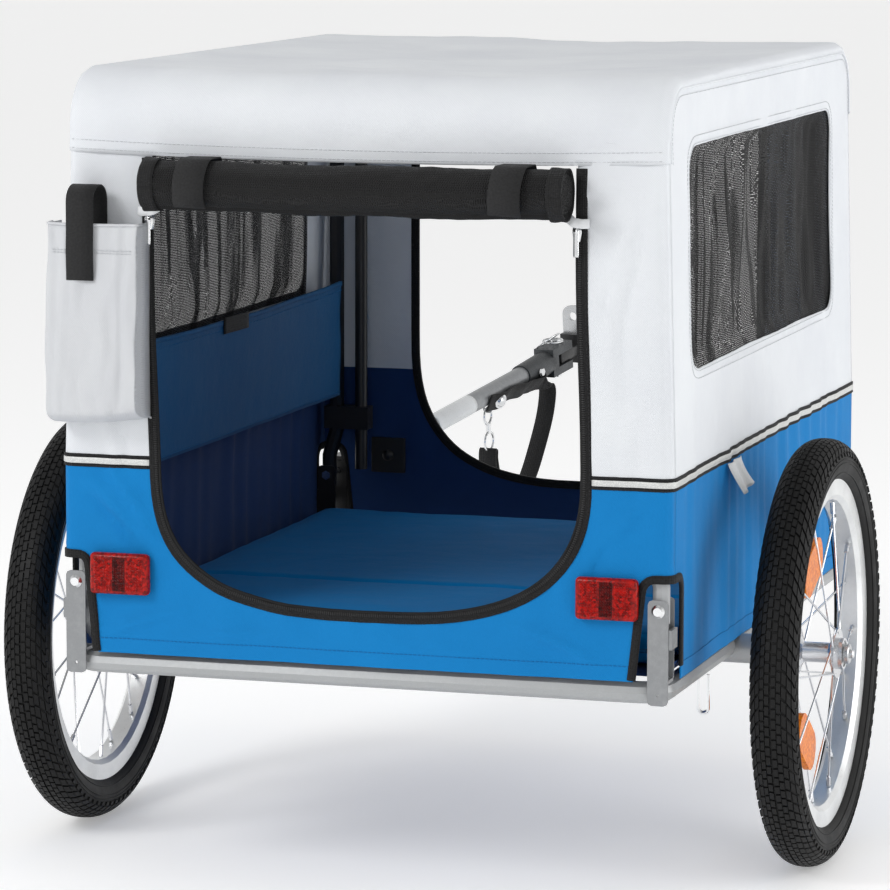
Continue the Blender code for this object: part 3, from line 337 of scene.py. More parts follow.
GREY = srgb(222, 225, 229)
# The lining's grey is lighter than the cover's: painted light, standing in for the light that comes through
# the cloth.
GREY_LINING_PAINTED_LIGHT = srgb(226, 230, 236)
BLUE = srgb(3, 122, 190)
NAVY = srgb(27, 60, 112)
MESH_BLACK = srgb(18, 18, 19)
TUBE_PAINT = {"metallic": 0.45, "flake": 0.12, "wear": 0.10}
MATERIALS = {
    "cover": cloth("cover_cloth", GREY, second=BLUE),
    "cover_inside": cloth("cover_lining", GREY_LINING_PAINTED_LIGHT, second=NAVY),
    "roof": cloth("roof_cloth", GREY),
    "roof_inside": cloth("roof_lining", GREY_LINING_PAINTED_LIGHT),
    "mat": cloth("mat_cloth", srgb(2, 122, 190), uv=False, shine=0.05),
    "pocket_blue": cloth("pocket_cloth", srgb(3, 88, 140)),
    "navy": cloth("floor_cloth", NAVY),
    "grey_bag": cloth("bag_cloth", srgb(203, 205, 208)),
    "tape": webbing("black_tape", srgb(19, 19, 20), 0.0022),
    "strap": webbing("black_strap", srgb(31, 31, 32), 0.0012),
    "silver_tape": reflective_tape("silver_tape"),
    "window": open_mesh("window_mesh", MESH_BLACK, 0.0016, 0.84, 1.8),
    "rolled_mesh": open_mesh("rolled_mesh", MESH_BLACK, 0.0022, 0.55, 1.4, opaque=True),
    "thread_grey": webbing("grey_thread", srgb(196, 199, 203), 0.0008),
    "thread_black": webbing("black_thread", srgb(40, 40, 42), 0.0008),
    "thread_blue": webbing("blue_thread", srgb(10, 104, 168), 0.0008),
    "silver": painted("silver_paint", srgb(165, 167, 168), rough=0.40, **TUBE_PAINT),
    # A darker copy of the silver paint: painted shade for the tow arm and the rear brackets, which carry the
    # same silver paint.
    "painted_shade_silver": painted("silver_paint_painted_shade", srgb(138, 140, 142), rough=0.38, **TUBE_PAINT),
    "black_tube": painted("black_tube", srgb(30, 30, 32), rough=0.42, lower=srgb(162, 164, 166)),
    "black_steel": painted("black_steel", srgb(26, 26, 27)),
    "zinc": bare_metal("bright_zinc", (0.80, 0.81, 0.82, 1), 0.14),
    "rim": bare_metal("polished_rim", (0.84, 0.85, 0.85, 1), 0.40),
    "hub": bare_metal("polished_hub", (0.72, 0.73, 0.75, 1), 0.18),
    "steel": bare_metal("ground_steel", (0.55, 0.56, 0.57, 1), 0.26),
    "cast": cast_metal("grey_casting", srgb(74, 76, 78)),
    "tyre": rubber("tyre_rubber"),
    "red_dark": lens("red_lens_dark", srgb(96, 10, 8), srgb(40, 3, 3)),
    "red": lens("red_lens", srgb(176, 20, 12), srgb(84, 6, 5)),
    "amber": lens("amber_lens", srgb(238, 136, 4), srgb(196, 88, 0)),
    "black_plastic": moulded("black_plastic", srgb(28, 28, 29)),
    "white_plastic": moulded("white_plastic", srgb(226, 228, 230), 0.35),
    "label": moulded("blank_label", srgb(206, 208, 209), 0.3),
}


# ---- mesh helpers ----
def new_object(name, verts, faces, kind, uvs=None, smooth=True):
    mesh = bpy.data.meshes.new(name)
    mesh.from_pydata([tuple(v) for v in verts], [], faces)
    obj = bpy.data.objects.new(name, mesh)
    bpy.context.scene.collection.objects.link(obj)
    mesh.materials.append(MATERIALS[kind])
    mesh.polygons.foreach_set("use_smooth", [smooth] * len(mesh.polygons))
    if uvs is not None:
        layer = mesh.uv_layers.new(name="UVMap")
        flat = [c for loop in mesh.loops for c in uvs[loop.vertex_index]]
        layer.data.foreach_set("uv", flat)
    return obj


def grid_faces(rows, columns, wrap_rows=False, wrap_columns=False):
    faces = []
    for i in range(rows if wrap_rows else rows - 1):
        for j in range(columns if wrap_columns else columns - 1):
            a, b = i * columns + j, i * columns + (j + 1) % columns
            c, d = (i + 1) % rows * columns + (j + 1) % columns, (i + 1) % rows * columns + j
            faces.append((a, b, c, d))
    return faces


def sheet(name, rows, columns, place, kind, flip=False):
    """A grid as one piece: place(t, r) gives the point and UV at t across and r up, each from 0 to 1."""
    spots = [place(j / (columns - 1), i / (rows - 1)) for i in range(rows) for j in range(columns)]
    faces = [face[::-1] if flip else face for face in grid_faces(rows, columns)]
    return new_object(name, [point for point, _ in spots], faces, kind, [uv for _, uv in spots])


def turned(profile, centre, axes, around):
    """Points and faces of a turned solid. The profile is (radius, height); axes are right, up and outward."""
    right, up, out = axes
    turns = [2 * math.pi * k / around for k in range(around)]
    verts = [centre + (right * math.cos(a) + up * math.sin(a)) * radius + out * height
             for radius, height in profile for a in turns]
    faces = grid_faces(len(profile), around, wrap_columns=True)
    return verts, faces + [tuple(range(around))[::-1], tuple(range(len(verts) - around, len(verts)))]


def dome(radius, base, rise, first):
    """Part of a turned profile: a domed top, from 15 degrees times first upwards."""
    turns = [math.radians(15 * k) for k in range(first, 6)]
    return [(radius * math.cos(a), base + rise * math.sin(a)) for a in turns]


def block(name, centre, size, kind):
    """A cuboid to be shaped further."""
    bpy.ops.mesh.primitive_cube_add(size=1, location=centre)
    obj = bpy.context.object
    obj.name = name
    obj.dimensions = size
    bpy.ops.object.transform_apply(location=True, rotation=False, scale=True)
    obj.data.materials.append(MATERIALS[kind])
    return obj


def thicken(obj, thickness, offset=-1.0):
    solid = obj.modifiers.new("thickness", "SOLIDIFY")
    solid.thickness = thickness
    solid.offset = offset
    return obj


def flat_panel(outline, holes=()):
    """Flat cloth panel in (u, v), cut out with its holes and then divided into small cells."""
    bm = bmesh.new()
    for loop in [outline, *holes]:
        verts = [bm.verts.new((u, v, 0.0)) for u, v in loop]
        for a, b in zip(verts, verts[1:] + verts[:1]):
            bm.edges.new((a, b))
    bmesh.ops.triangle_fill(bm, use_beauty=True, use_dissolve=False, edges=bm.edges[:])
    for axis in (0, 1):
        values = [corner[axis] for corner in outline]
        normal = [float(n == axis) for n in range(3)]
        place = (math.floor(min(values) / PANEL_STEP) + 1) * PANEL_STEP
        while place < max(values):
            spot = [place * part for part in normal]
            geometry = bm.verts[:] + bm.edges[:] + bm.faces[:]
            bmesh.ops.bisect_plane(bm, geom=geometry, dist=1e-6, plane_co=spot, plane_no=normal)
            place += PANEL_STEP
    bmesh.ops.remove_doubles(bm, verts=bm.verts[:], dist=3e-4)
    bmesh.ops.dissolve_degenerate(bm, dist=1e-4, edges=bm.edges[:])
    bmesh.ops.triangulate(bm, faces=bm.faces[:])
    bmesh.ops.recalc_face_normals(bm, faces=bm.faces[:])
    if sum(face.normal.z for face in bm.faces) < 0:
        bmesh.ops.reverse_faces(bm, faces=bm.faces[:])
    return bm


def sewn(name, bm, mapping, kind, lining):
    """The flat panel laid on the cabin as cloth and lining: mapping takes (u, v, out), UVs stay in metres."""
    layer = bm.loops.layers.uv.new("UVMap")
    for face in bm.faces:
        face.smooth = True
        for loop in face.loops:
            loop[layer].uv = loop.vert.co.x, loop.vert.co.y
    rim = [edge.link_loops[0] for edge in bm.edges if len(edge.link_faces) == 1]
    rim = [(loop.vert, loop.link_loop_next.vert) for loop in rim]
    copy = bmesh.ops.duplicate(bm, geom=bm.verts[:] + bm.edges[:] + bm.faces[:])
    twin = copy["vert_map"]
    inner = [part for part in copy["geom"] if isinstance(part, bmesh.types.BMFace)]
    bmesh.ops.reverse_faces(bm, faces=inner)
    for face in inner:
        face.material_index = 1
    lined = {vert for face in inner for vert in face.verts}
    for a, b in rim:
        edge_face = bm.faces.new((b, a, twin[a], twin[b]))
        for loop in edge_face.loops:
            loop[layer].uv = loop.vert.co.x, loop.vert.co.y
    for vert in bm.verts:
        vert.co = mapping(vert.co.x, vert.co.y, -CLOTH_T if vert in lined else 0.0)
    mesh = bpy.data.meshes.new(name)
    bm.to_mesh(mesh)
    bm.free()
    obj = bpy.data.objects.new(name, mesh)
    bpy.context.scene.collection.objects.link(obj)
    mesh.materials.append(MATERIALS[kind])
    mesh.materials.append(MATERIALS[lining])
    return obj


def along_path(path, pitch, closed=False):
    """Evenly spaced points of a path with their directions."""
    points = list(path) + ([path[0]] if closed else [])
    lengths = [(b - a).length for a, b in zip(points, points[1:])]
    total = sum(lengths)
    count = max(2, round(total / pitch))
    found, segment, walked = [], 0, 0.0
    for k in range(count + (0 if closed else 1)):
        want = total * k / count
        while segment < len(lengths) - 1 and walked + lengths[segment] < want:
            walked += lengths[segment]
            segment += 1
        share = (want - walked) / max(lengths[segment], 1e-9)
        found.append(points[segment].lerp(points[segment + 1], min(1.0, max(0.0, share))))
    out = []
    for k, point in enumerate(found):
        before = found[k - 1] if k or closed else point
        after = found[(k + 1) % len(found)] if k < len(found) - 1 or closed else point
        out.append((point, (after - before).normalized()))
    return out


def sweep(name, path, facing, profile, kind, pitch=0.006, closed=False):
    """Carries a closed profile of (across, outwards) along a path. facing(point) is the outward direction."""
    verts, uvs, walked, last = [], [], 0.0, None
    stations = along_path(path, pitch, closed)
    for point, ahead in stations:
        out = facing(point)
        out = (out - ahead * out.dot(ahead)).normalized()
        across = ahead.cross(out)
        walked += (point - last).length if last is not None else 0.0
        last = point
        for side, lift in profile:
            verts.append(point + across * side + out * lift)
            uvs.append((walked, side))
    ring = len(profile)
    faces = grid_faces(len(stations), ring, wrap_rows=closed, wrap_columns=True)
    if not closed:
        faces.append(tuple(range(ring))[::-1])
        faces.append(tuple(range(len(verts) - ring, len(verts))))
    faces = [face[::-1] for face in faces]
    return new_object(name, verts, faces, kind, uvs)


def spaced(start, end, steps):
    return [start + (end - start) * k / steps for k in range(steps + 1)]


def always(x, y, z):
    """A facing function with the same direction everywhere."""
    direction = Vector((x, y, z))
    return lambda point: direction


UPWARDS, RIGHTWARDS = always(0, 0, 1), always(1, 0, 0)


def round_profile(radius, sides=8):
    turns = [2 * math.pi * k / sides for k in range(sides)]
    return [(radius * math.cos(a), radius * math.sin(a)) for a in turns]


def box_profile(left, right, low, high):
    return [(left, low), (left, high), (right, high), (right, low)]


def tape_profile(width, height):
    half, edge = width / 2, 0.0006
    return [(-half, 0.0), (-half, height - edge), (-half + edge, height), (half - edge, height),
            (half, height - edge), (half, 0.0)]


def bricks(name, path, facing, pitch, size, kind, closed=False, lift=0.0):
    """A row of small bars along a path, such as stitches or zip teeth, joined into one mesh."""
    length, width, height = size
    verts, faces = [], []
    for point, ahead in along_path(path, pitch, closed):
        out = facing(point)
        out = (out - ahead * out.dot(ahead)).normalized()
        across = ahead.cross(out)
        base = len(verts)
        centre = point + out * lift
        for end in (-1, 1):
            for x, y in ((-0.5, 0.0), (-0.3, 1.0), (0.3, 1.0), (0.5, 0.0)):
                reach = end * length / 2 * (1.0 if y == 0.0 else 0.8)
                verts.append(centre + ahead * reach + across * x * width + out * y * height)
        faces += [tuple(base + k for k in face) for face in
                  ((0, 1, 2, 3), (7, 6, 5, 4), (1, 0, 4, 5), (2, 1, 5, 6), (3, 2, 6, 7), (0, 3, 7, 4))]
    return new_object(name, verts, [face[::-1] for face in faces], kind, [(v.x + v.y, v.z) for v in verts])


def merged(name, objects):
    """Joins several meshes into the first one."""
    bpy.ops.object.select_all(action="DESELECT")
    for obj in objects:
        obj.select_set(True)
    bpy.context.view_layer.objects.active = objects[0]
    bpy.ops.object.join()
    objects[0].name = name
    return objects[0]


def soften(obj, width, segments):
    rounding = obj.modifiers.new("rounding", "BEVEL")
    rounding.width = width
    rounding.segments = segments
    rounding.limit_method = "ANGLE"
    rounding.angle_limit = math.radians(40)
    return obj


def swell(x, y, z):
    """Smooth noise from -1 to 1, the same each run."""
    return noise.noise(Vector((x, y, z)))


def ease(value):
    value = min(1.0, max(0.0, value))
    return value * value * (3 - 2 * value)


def mounted(obj, nodes=(), body="chassis", folds=True):
    """Rides the piece on its body and hides the CAD nodes it stands for; with folds, gives it its own copy of
    its mesh.
    """
    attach(obj, body)
    if nodes:
        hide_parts(*nodes)
    if folds:
        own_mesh(obj)
    return obj


# ---- shape of the cover ----
FLAT_X = CABIN_X - CORNER_R
S_REAR = FLAT_X                 # s runs along half the wall loop, from the middle of the rear wall
S_SIDE = S_REAR + CORNER_R * math.pi / 2
S_FRONT = S_SIDE + CABIN_L - 2 * CORNER_R
S_END = S_FRONT + CORNER_R * math.pi / 2
S_HALF = S_END + FLAT_X
ROOF_RISE = TOP_Z - ROOF_BEND_R             # s equals z on the rear flap, up to here


CREASE_GAIN = 1.7
CREASES = (                 # (x, z, degrees, length, width, height) of soft folds in the rear wall
    (-0.242, 0.352, -38, 0.045, 0.0055, 0.0026), (-0.232, 0.330, -52, 0.040, 0.0050, -0.0020),
    (-0.214, 0.348, -60, 0.050, 0.0050, 0.0022), (-0.258, 0.372, -28, 0.030, 0.0045, 0.0020),
    (-0.222, 0.240, 24, 0.050, 0.0060, 0.0020), (-0.120, 0.236, 6, 0.070, 0.0065, 0.0018),
    (0.060, 0.234, -5, 0.080, 0.0060, 0.0018), (0.180, 0.246, -22, 0.050, 0.0060, 0.0022),
    (0.238, 0.352, 48, 0.045, 0.0055, 0.0022), (0.226, 0.335, 62, 0.040, 0.0050, -0.0018),
    (0.240, 0.600, 58, 0.050, 0.0070, 0.0024), (0.252, 0.565, 72, 0.055, 0.0070, -0.0022),
    (0.232, 0.520, 84, 0.060, 0.0065, 0.0020), (0.246, 0.430, 80, 0.040, 0.0060, 0.0018),
    (-0.244, 0.420, -70, 0.030, 0.0055, 0.0020), (-0.228, 0.410, -80, 0.026, 0.0050, -0.0018),
)


def creases(x, z):
    """Height of the soft folds at a place on the rear wall."""
    height = 0.0
    for at_x, at_z, degrees, length, width, rise in CREASES:
        c, s = math.cos(math.radians(degrees)), math.sin(math.radians(degrees))
        along = (x - at_x) * c + (z - at_z) * s
        away = (z - at_z) * c - (x - at_x) * s + 0.12 * along * along / length
        height += CREASE_GAIN * rise * math.exp(-(along / length) ** 2 - (away / width) ** 2)
    return height


def drape(side, s, z):
    """How far the wall cloth stands out (+) or hangs in (-) from its frame."""
    high = ease((TOP_Z - z) / 0.050)
    low = ease((z - HEM_Z) / 0.030)
    hem = 0.0034 * (0.45 + swell(s * 19, 7 * side, 3)) * ease((HEM_Z + 0.045 - z) / 0.045)
    if s < S_SIDE:
        edge = ease((S_REAR - s) / 0.030)
        seed = 3 if side > 0 else 5
        ripple = 0.0026 * swell(s * 34, z * 7, seed)
        hang = 0.0020 * swell(s * 11, z * 10, seed + 1)
        pull_at = (side * s - DOOR_HALF_W, z - 0.625)
        distance = math.hypot(*pull_at)
        pull = 0.0024 * math.sin(7 * math.atan2(pull_at[1], pull_at[0])) * math.exp(-distance / 0.045)
        pull *= ease(distance / 0.02) if side > 0 else 0.0
        return (ripple + hang + pull + creases(side * s, z)) * edge * high * low + max(0.0, hem) * edge
    if s < S_FRONT:
        t = (s - S_SIDE) / (S_FRONT - S_SIDE)
        edge = ease(t * 9) * ease((1 - t) * 9)
        up = min(1.0, max(0.0, (z - 0.30) / (TOP_Z - 0.30)))
        bow = -0.0045 * math.sin(math.pi * up) * math.sin(math.pi * t)
        below = ease((STRIPE_Z + 0.02 - z) / 0.03)
        streak = 0.0044 * swell(s * 40, z * 2.5, 11 * side) * below
        streak += 0.0011 * swell(s * 55, z * 4, 17 * side) * (1 - below)
        soft = 0.0026 * swell(s * 9, z * 8, 23 * side)
        return bow * edge + (streak + soft) * edge * high * (0.35 + 0.65 * low)
    edge = ease((s - S_END) / 0.030)
    ripple = 0.0026 * swell(s * 30, z * 6, 31 * side)
    return ripple * edge * high * low


def leaning(point):
    """The side walls and the roof's edges lean in above the stripe; the door openings stay where they are."""
    up = min(1.0, max(0.0, (point.z - STRIPE_Z) / (ROOF_RISE - STRIPE_Z)))
    share = ease((abs(point.x) - DOOR_HALF_W - 0.004) / (CABIN_X - DOOR_HALF_W - 0.020))
    point.x -= math.copysign(LEAN * up * share, point.x)
    return point


def wall_point(side, s, z, out=0.0):
    return leaning(upright_wall_point(side, s, z, out))


def upright_wall_point(side, s, z, out):
    """Point of the wall loop on one side (1 is right), s along it from the middle of the rear wall."""
    lift = out + drape(side, s, z)
    if s <= S_REAR:
        return Vector((side * s, REAR_Y - lift, z))
    if s <= S_SIDE:
        a = (s - S_REAR) / CORNER_R
        reach = CORNER_R + lift
        return Vector((side * (FLAT_X + reach * math.sin(a)), REAR_Y + CORNER_R - reach * math.cos(a), z))
    if s <= S_FRONT:
        return Vector((side * (CABIN_X + lift), REAR_Y + CORNER_R + s - S_SIDE, z))
    if s <= S_END:
        a = (s - S_FRONT) / CORNER_R
        reach = CORNER_R + lift
        return Vector((side * (FLAT_X + reach * math.cos(a)), FRONT_Y - CORNER_R + reach * math.sin(a), z))
    return Vector((side * (FLAT_X - (s - S_END)), FRONT_Y + lift, z))


def wall_facing(point):
    """Outward direction of the wall loop at a point on it."""
    near_x = min(FLAT_X, max(-FLAT_X, point.x))
    near_y = min(FRONT_Y - CORNER_R, max(REAR_Y + CORNER_R, point.y))
    return Vector((point.x - near_x, point.y - near_y, 0.0)).normalized()


def rear_at(u, v, out=0.0):
    return wall_point(1 if u >= 0 else -1, abs(u), v, out)


def front_at(u, v, out=0.0):
    return wall_point(-1 if u >= 0 else 1, S_HALF - abs(u), v, out)


def side_at(side, y, z, out=0.0):
    return wall_point(side, S_SIDE + y - REAR_Y - CORNER_R, z, out)


ROOF_BEND = ROOF_BEND_R * math.pi / 2
ROOF_TOP_START = ROOF_RISE + ROOF_BEND
ROOF_TOP_END = ROOF_TOP_START + CABIN_L - 2 * ROOF_BEND_R
ROOF_FALL = ROOF_TOP_END + ROOF_BEND
FLAP_OUT = 0.0014


def roof_profile(s):
    """(y, z, outward y, outward z) of the roof's outline, seen from the side."""
    if s <= ROOF_RISE:
        return REAR_Y, s, -1.0, 0.0
    if s <= ROOF_TOP_START:
        a = (s - ROOF_RISE) / ROOF_BEND_R
        return (REAR_Y + ROOF_BEND_R * (1 - math.cos(a)), ROOF_RISE + ROOF_BEND_R * math.sin(a),
                -math.cos(a), math.sin(a))
    if s <= ROOF_TOP_END:
        return REAR_Y + ROOF_BEND_R + s - ROOF_TOP_START, TOP_Z, 0.0, 1.0
    if s <= ROOF_FALL:
        a = (s - ROOF_TOP_END) / ROOF_BEND_R
        return (FRONT_Y - ROOF_BEND_R * (1 - math.sin(a)), ROOF_RISE + ROOF_BEND_R * math.cos(a),
                math.sin(a), math.cos(a))
    return FRONT_Y, ROOF_RISE - (s - ROOF_FALL), 1.0, 0.0


def roof_drape(u, y):
    """The roof sags between the side hoops, with a few soft ripples."""
    across = 1 - min(1.0, abs(u) / FLAT_X) ** 2
    t = min(1.0, max(0.0, (y - REAR_Y) / CABIN_L))
    sag = ROOF_SAG * across * math.sin(math.pi * t) ** 0.7
    ripple = 0.0030 * swell(u * 7, y * 9, 41) + 0.0014 * swell(u * 22, y * 14, 43)
    return -sag + ripple * across * ease(t * 12 + 0.2) * ease((1 - t) * 12 + 0.2)


def roof_at(u, s, out=0.0):
    return leaning(upright_roof_at(u, s, out))


def upright_roof_at(u, s, out):
    y, z, out_y, out_z = roof_profile(s)
    lift = out + FLAP_OUT + roof_drape(u, y)
    over = abs(u) - FLAT_X
    if over <= 0:
        return Vector((u, y + out_y * lift, z + out_z * lift))
    a = over / CORNER_R
    reach = CORNER_R + lift
    back = reach * math.cos(a) - CORNER_R
    return Vector((math.copysign(FLAT_X + reach * math.sin(a), u), y + out_y * back, z + out_z * back))


def door_shift(z):
    """The rear opening is cut a little to the right half way up."""
    return 0.0055 * math.exp(-((z - 0.39) / 0.12) ** 2)


def door_outline(half_w, bottom, corner_h, grow=0.0, shift=None, top=DOOR_TOP):
    """Straight sides and a squarish rounded bottom, in (x, z), from the top right round to the top left."""
    steps = 40
    knee = bottom + corner_h
    curve = []
    for k in range(steps + 1):
        a = math.pi * k / steps
        x = math.copysign(abs(math.cos(a)) ** (2 / DOOR_POWER) * (half_w + grow), math.cos(a))
        z = knee - abs(math.sin(a)) ** (2 / DOOR_POWER) * (corner_h + grow)
        curve.append((x, z))
    rise = [(half_w + grow, top + (knee - top) * k / 8) for k in range(8)]
    fall = [(-(half_w + grow), knee + (top - knee) * k / 8) for k in range(1, 9)]
    points = rise + curve + fall
    return [(x + (shift(z) if shift else 0.0), z) for x, z in points]


def rounded_outline(corners, radius, steps=5):
    """Closed outline, each corner rounded by a curve that starts and ends at the radius from it."""
    points = []
    count = len(corners)
    for k, corner in enumerate(corners):
        here = Vector(corner)
        into = (here - Vector(corners[k - 1])).normalized()
        away = (Vector(corners[(k + 1) % count]) - here).normalized()
        start, end = here - into * radius, here + away * radius
        for j in range(steps + 1):
            t = j / steps
            spot = start * (1 - t) ** 2 + here * 2 * t * (1 - t) + end * t ** 2
            points.append((spot.x, spot.y))
    return points


def arc_points(centre, radius, from_deg, to_deg, steps=6):
    turn = [math.radians(from_deg + (to_deg - from_deg) * k / steps) for k in range(steps + 1)]
    return [(centre[0] + radius * math.cos(a), centre[1] + radius * math.sin(a)) for a in turn]


def end_outline(top, cutout_x):
    """Outline of an end wall with the upper corner of each hinge cut-out."""
    edge = S_SIDE
    left = [(-edge, top), (-edge, CUTOUT_Z)]
    left += arc_points((-cutout_x - CUTOUT_SLANT - CUTOUT_R, CUTOUT_Z - CUTOUT_R), CUTOUT_R, 90, 0)
    left += [(-cutout_x, HEM_Z)]
    return left + [(-x, z) for x, z in left[::-1]]


def side_outline(side):
    """Outline of a side wall: rounded top corners, cut away round the hinges."""
    inner = ROOF_BEND_R - CORNER_R
    rear, front = REAR_Y + CORNER_R, FRONT_Y - CORNER_R
    cut_rear, cut_front = REAR_Y + CUTOUT_DEPTH, FRONT_Y - CUTOUT_DEPTH
    top = TOP_Z - CORNER_R
    points = [(cut_rear, HEM_Z - 0.0010), (cut_front, HEM_Z - 0.0010)]
    points += arc_points((cut_front + CUTOUT_R, CUTOUT_Z - CUTOUT_R), CUTOUT_R, 180, 90)
    points += [(front, CUTOUT_Z)]
    points += arc_points((front - inner, top - inner), inner, 0, 90, 10)
    points += arc_points((rear + inner, top - inner), inner, 90, 180, 10)
    points += [(rear, CUTOUT_Z)]
    points += arc_points((cut_rear - CUTOUT_R, CUTOUT_Z - CUTOUT_R), CUTOUT_R, 90, 0)
    return [(side * y, z) for y, z in points]


# ---- the sewn cover ----
def end_wall(name, node, at, half_w, bottom, corner_h, cutout_x, shift=None):
    hole = door_outline(half_w, bottom, corner_h, 0.0, shift)
    wall = sewn(name, flat_panel(end_outline(COVER_TOP, cutout_x), [hole]), at, "cover", "cover_inside")
    return mounted(wall, nodes=[node])


def window_corners(grow=0.0):
    (rear, front), (low, high) = WINDOW_Y, WINDOW_Z
    rear, front, low, high = rear - grow, front + grow, low - grow, high + grow
    return [(rear, low), (front, low), (front, high), (rear, high)]


def side_wall(hand, side):
    corners = [(side * y, z) for y, z in window_corners()]
    bm = flat_panel(side_outline(side), [rounded_outline(corners, WINDOW_R)])
    wall = sewn(f"cover_side_{hand}", bm, lambda u, v, out: side_at(side, side * u, v, out), "cover",
                "cover_inside")
    return mounted(wall, nodes=[f"side_panel_{hand}"])


def flap_edge(u):
    """Height of a flap's lower edge."""
    return FLAP_Z - FLAP_SAG * (1 - (u / S_SIDE) ** 2)


def roof():
    """One strip of cloth: rear flap, roof and front flap, turned down over the hoops at its edges."""
    across = [S_SIDE * share for share in spaced(-1, 1, 24)]
    rear_edge = [(u, flap_edge(u)) for u in across]
    front_edge = [(-u, ROOF_FALL + ROOF_RISE - flap_edge(u)) for u in across]
    cover = sewn("cover_roof", flat_panel(rear_edge + front_edge), roof_at, "roof", "roof_inside")
    return mounted(cover, nodes=["roof_cover"])


def flap_path(front, lift, inset):
    """Along a flap's lower edge, from left to right."""
    points = []
    for share in spaced(-1, 1, 60):
        u = (S_SIDE - inset) * share
        low = flap_edge(u) + lift
        points.append(roof_at(u, ROOF_FALL + ROOF_RISE - low if front else low))
    return points


def roof_edge_path(side, drop=0.0):
    """Seam where a side wall meets the roof strip, with its rounded corners."""
    points = []
    x, deep = side * (CABIN_X + FLAP_OUT * 0.6), CORNER_R + drop
    for s in spaced(FLAP_Z, ROOF_FALL + ROOF_RISE - FLAP_Z, 90):
        y, z, out_y, out_z = roof_profile(s)
        points.append(leaning(Vector((x, y - out_y * deep, z - out_z * deep))))
    return points


def seams():
    """Piping along the roof's edges and rows of stitches beside every seam."""
    grey = []
    for hand, side in HANDS.items():
        outward = always(side, 0, 0)
        mounted(sweep(f"roof_piping_{hand}", roof_edge_path(side), outward, round_profile(0.0011), "roof"))
        grey.append(bricks("row", roof_edge_path(side, 0.006), outward, *WALL_STITCH, "thread_grey",
                           lift=0.0001))
    for front in (False, True):
        for rise in (0.0030, 0.0110):
            grey.append(bricks("row", flap_path(front, rise, 0.012), wall_facing, *WALL_STITCH,
                               "thread_grey"))
    mounted(merged("roof_stitches", grey))


def door_path(at, half_w, bottom, corner_h, grow, shift, top, out):
    return [at(x, z, out) for x, z in door_outline(half_w, bottom, corner_h, grow, shift, top)]


def rear_zip():
    """Black tape with its coil round the rear opening, and the stitches that hold it."""
    def edge(grow, top, out):
        return door_path(rear_at, DOOR_HALF_W, DOOR_BOTTOM, DOOR_CORNER_H, grow, door_shift, top, out)
    mounted(sweep("rear_zip_tape", edge(0.0042, TAPE_TOP, 0.0), wall_facing, tape_profile(0.0105, 0.0013),
                  "tape", 0.005))
    mounted(sweep("rear_zip_edge", edge(-0.0003, TAPE_TOP, 0.0002), wall_facing, round_profile(0.0013),
                  "tape", 0.005))
    mounted(bricks("rear_zip_coil", edge(0.0026, 0.640, 0.0010), wall_facing, 0.0020,
                   (0.0012, 0.0040, 0.0012), "black_plastic"))
    mounted(bricks("rear_zip_stitches", edge(0.0076, 0.664, 0.0012), wall_facing, 0.0036,
                   (0.0026, 0.0006, 0.0005), "thread_black"))


def front_binding():
    edge = door_path(front_at, FRONT_HALF_W, FRONT_BOTTOM, FRONT_CORNER_H, 0.0, None, TAPE_TOP, -0.0022)
    mounted(sweep("front_opening_binding", edge, wall_facing, box_profile(-0.0040, 0.0045, 0.0, 0.0036),
                  "tape", 0.005))


def cutout_bindings():
    """Black tape folded over the edge of each hinge cut-out."""
    tapes = []
    last, start_z = S_SIDE + CUTOUT_DEPTH - CORNER_R, HEM_Z + 0.001
    for side in HANDS.values():
        for at_front, inner in ((False, CUTOUT_X), (True, FRONT_CUTOUT_X)):
            points = [(inner, start_z)]
            points += arc_points((inner + CUTOUT_SLANT + CUTOUT_R, CUTOUT_Z - CUTOUT_R), CUTOUT_R, 180, 90)
            points += [(S_SIDE, CUTOUT_Z)]
            points += arc_points((last - CUTOUT_R, CUTOUT_Z - CUTOUT_R), CUTOUT_R, 90, 0)
            points += [(last, start_z)]
            path = []
            for (a, za), (b, zb) in zip(points, points[1:]):
                for k in range(8):
                    s, z = a + (b - a) * k / 8, za + (zb - za) * k / 8
                    path.append(wall_point(side, S_HALF - s if at_front else s, z, -0.0012))
            tapes.append(sweep("tape", path, wall_facing, box_profile(-0.0052, 0.0024, 0.0, 0.0026), "tape",
                               0.004))
    mounted(merged("cutout_bindings", tapes))


def stripe_runs():
    """(side, from s, to s) of the reflective stripe: everywhere but across the two openings."""
    rear_edge = DOOR_HALF_W + 0.0095
    front_edge = FRONT_HALF_W + 0.0040
    return [(side, rear_edge + side * door_shift(STRIPE_Z), S_HALF - front_edge) for side in HANDS.values()]


def stripe():
    black, silver, stitches = [], [], []
    for side, start, end in stripe_runs():
        def run(z, out):
            return [wall_point(side, s, z, out) for s in spaced(start, end, 200)]
        black.append(sweep("run", run(STRIPE_Z, 0.0002), wall_facing, tape_profile(STRIPE_W, 0.0009), "tape",
                           0.004))
        silver.append(sweep("run", run(STRIPE_Z, 0.0010), wall_facing, tape_profile(0.0058, 0.0005),
                            "silver_tape", 0.004))
        for rise in (-0.0047, 0.0047):
            stitches.append(bricks("run", run(STRIPE_Z + rise, 0.0010), wall_facing, 0.0034,
                                   (0.0025, 0.0005, 0.0004), "thread_black"))
    for name, runs in (("edge", black), ("silver", silver), ("stitches", stitches)):
        mounted(merged(f"stripe_{name}", runs))


def hem():
    """Stitches of the turned hem along the bottom of the walls."""
    runs = []
    for side in HANDS.values():
        for start, end in ((0.0, CUTOUT_X - 0.004), (S_SIDE + 0.028, S_FRONT - 0.028),
                           (S_HALF - FRONT_CUTOUT_X + 0.004, S_HALF)):
            path = [wall_point(side, s, HEM_Z + 0.0135, 0.0001) for s in spaced(start, end, 80)]
            runs.append(bricks("run", path, wall_facing, *WALL_STITCH, "thread_blue"))
    mounted(merged("hem_stitches", runs))


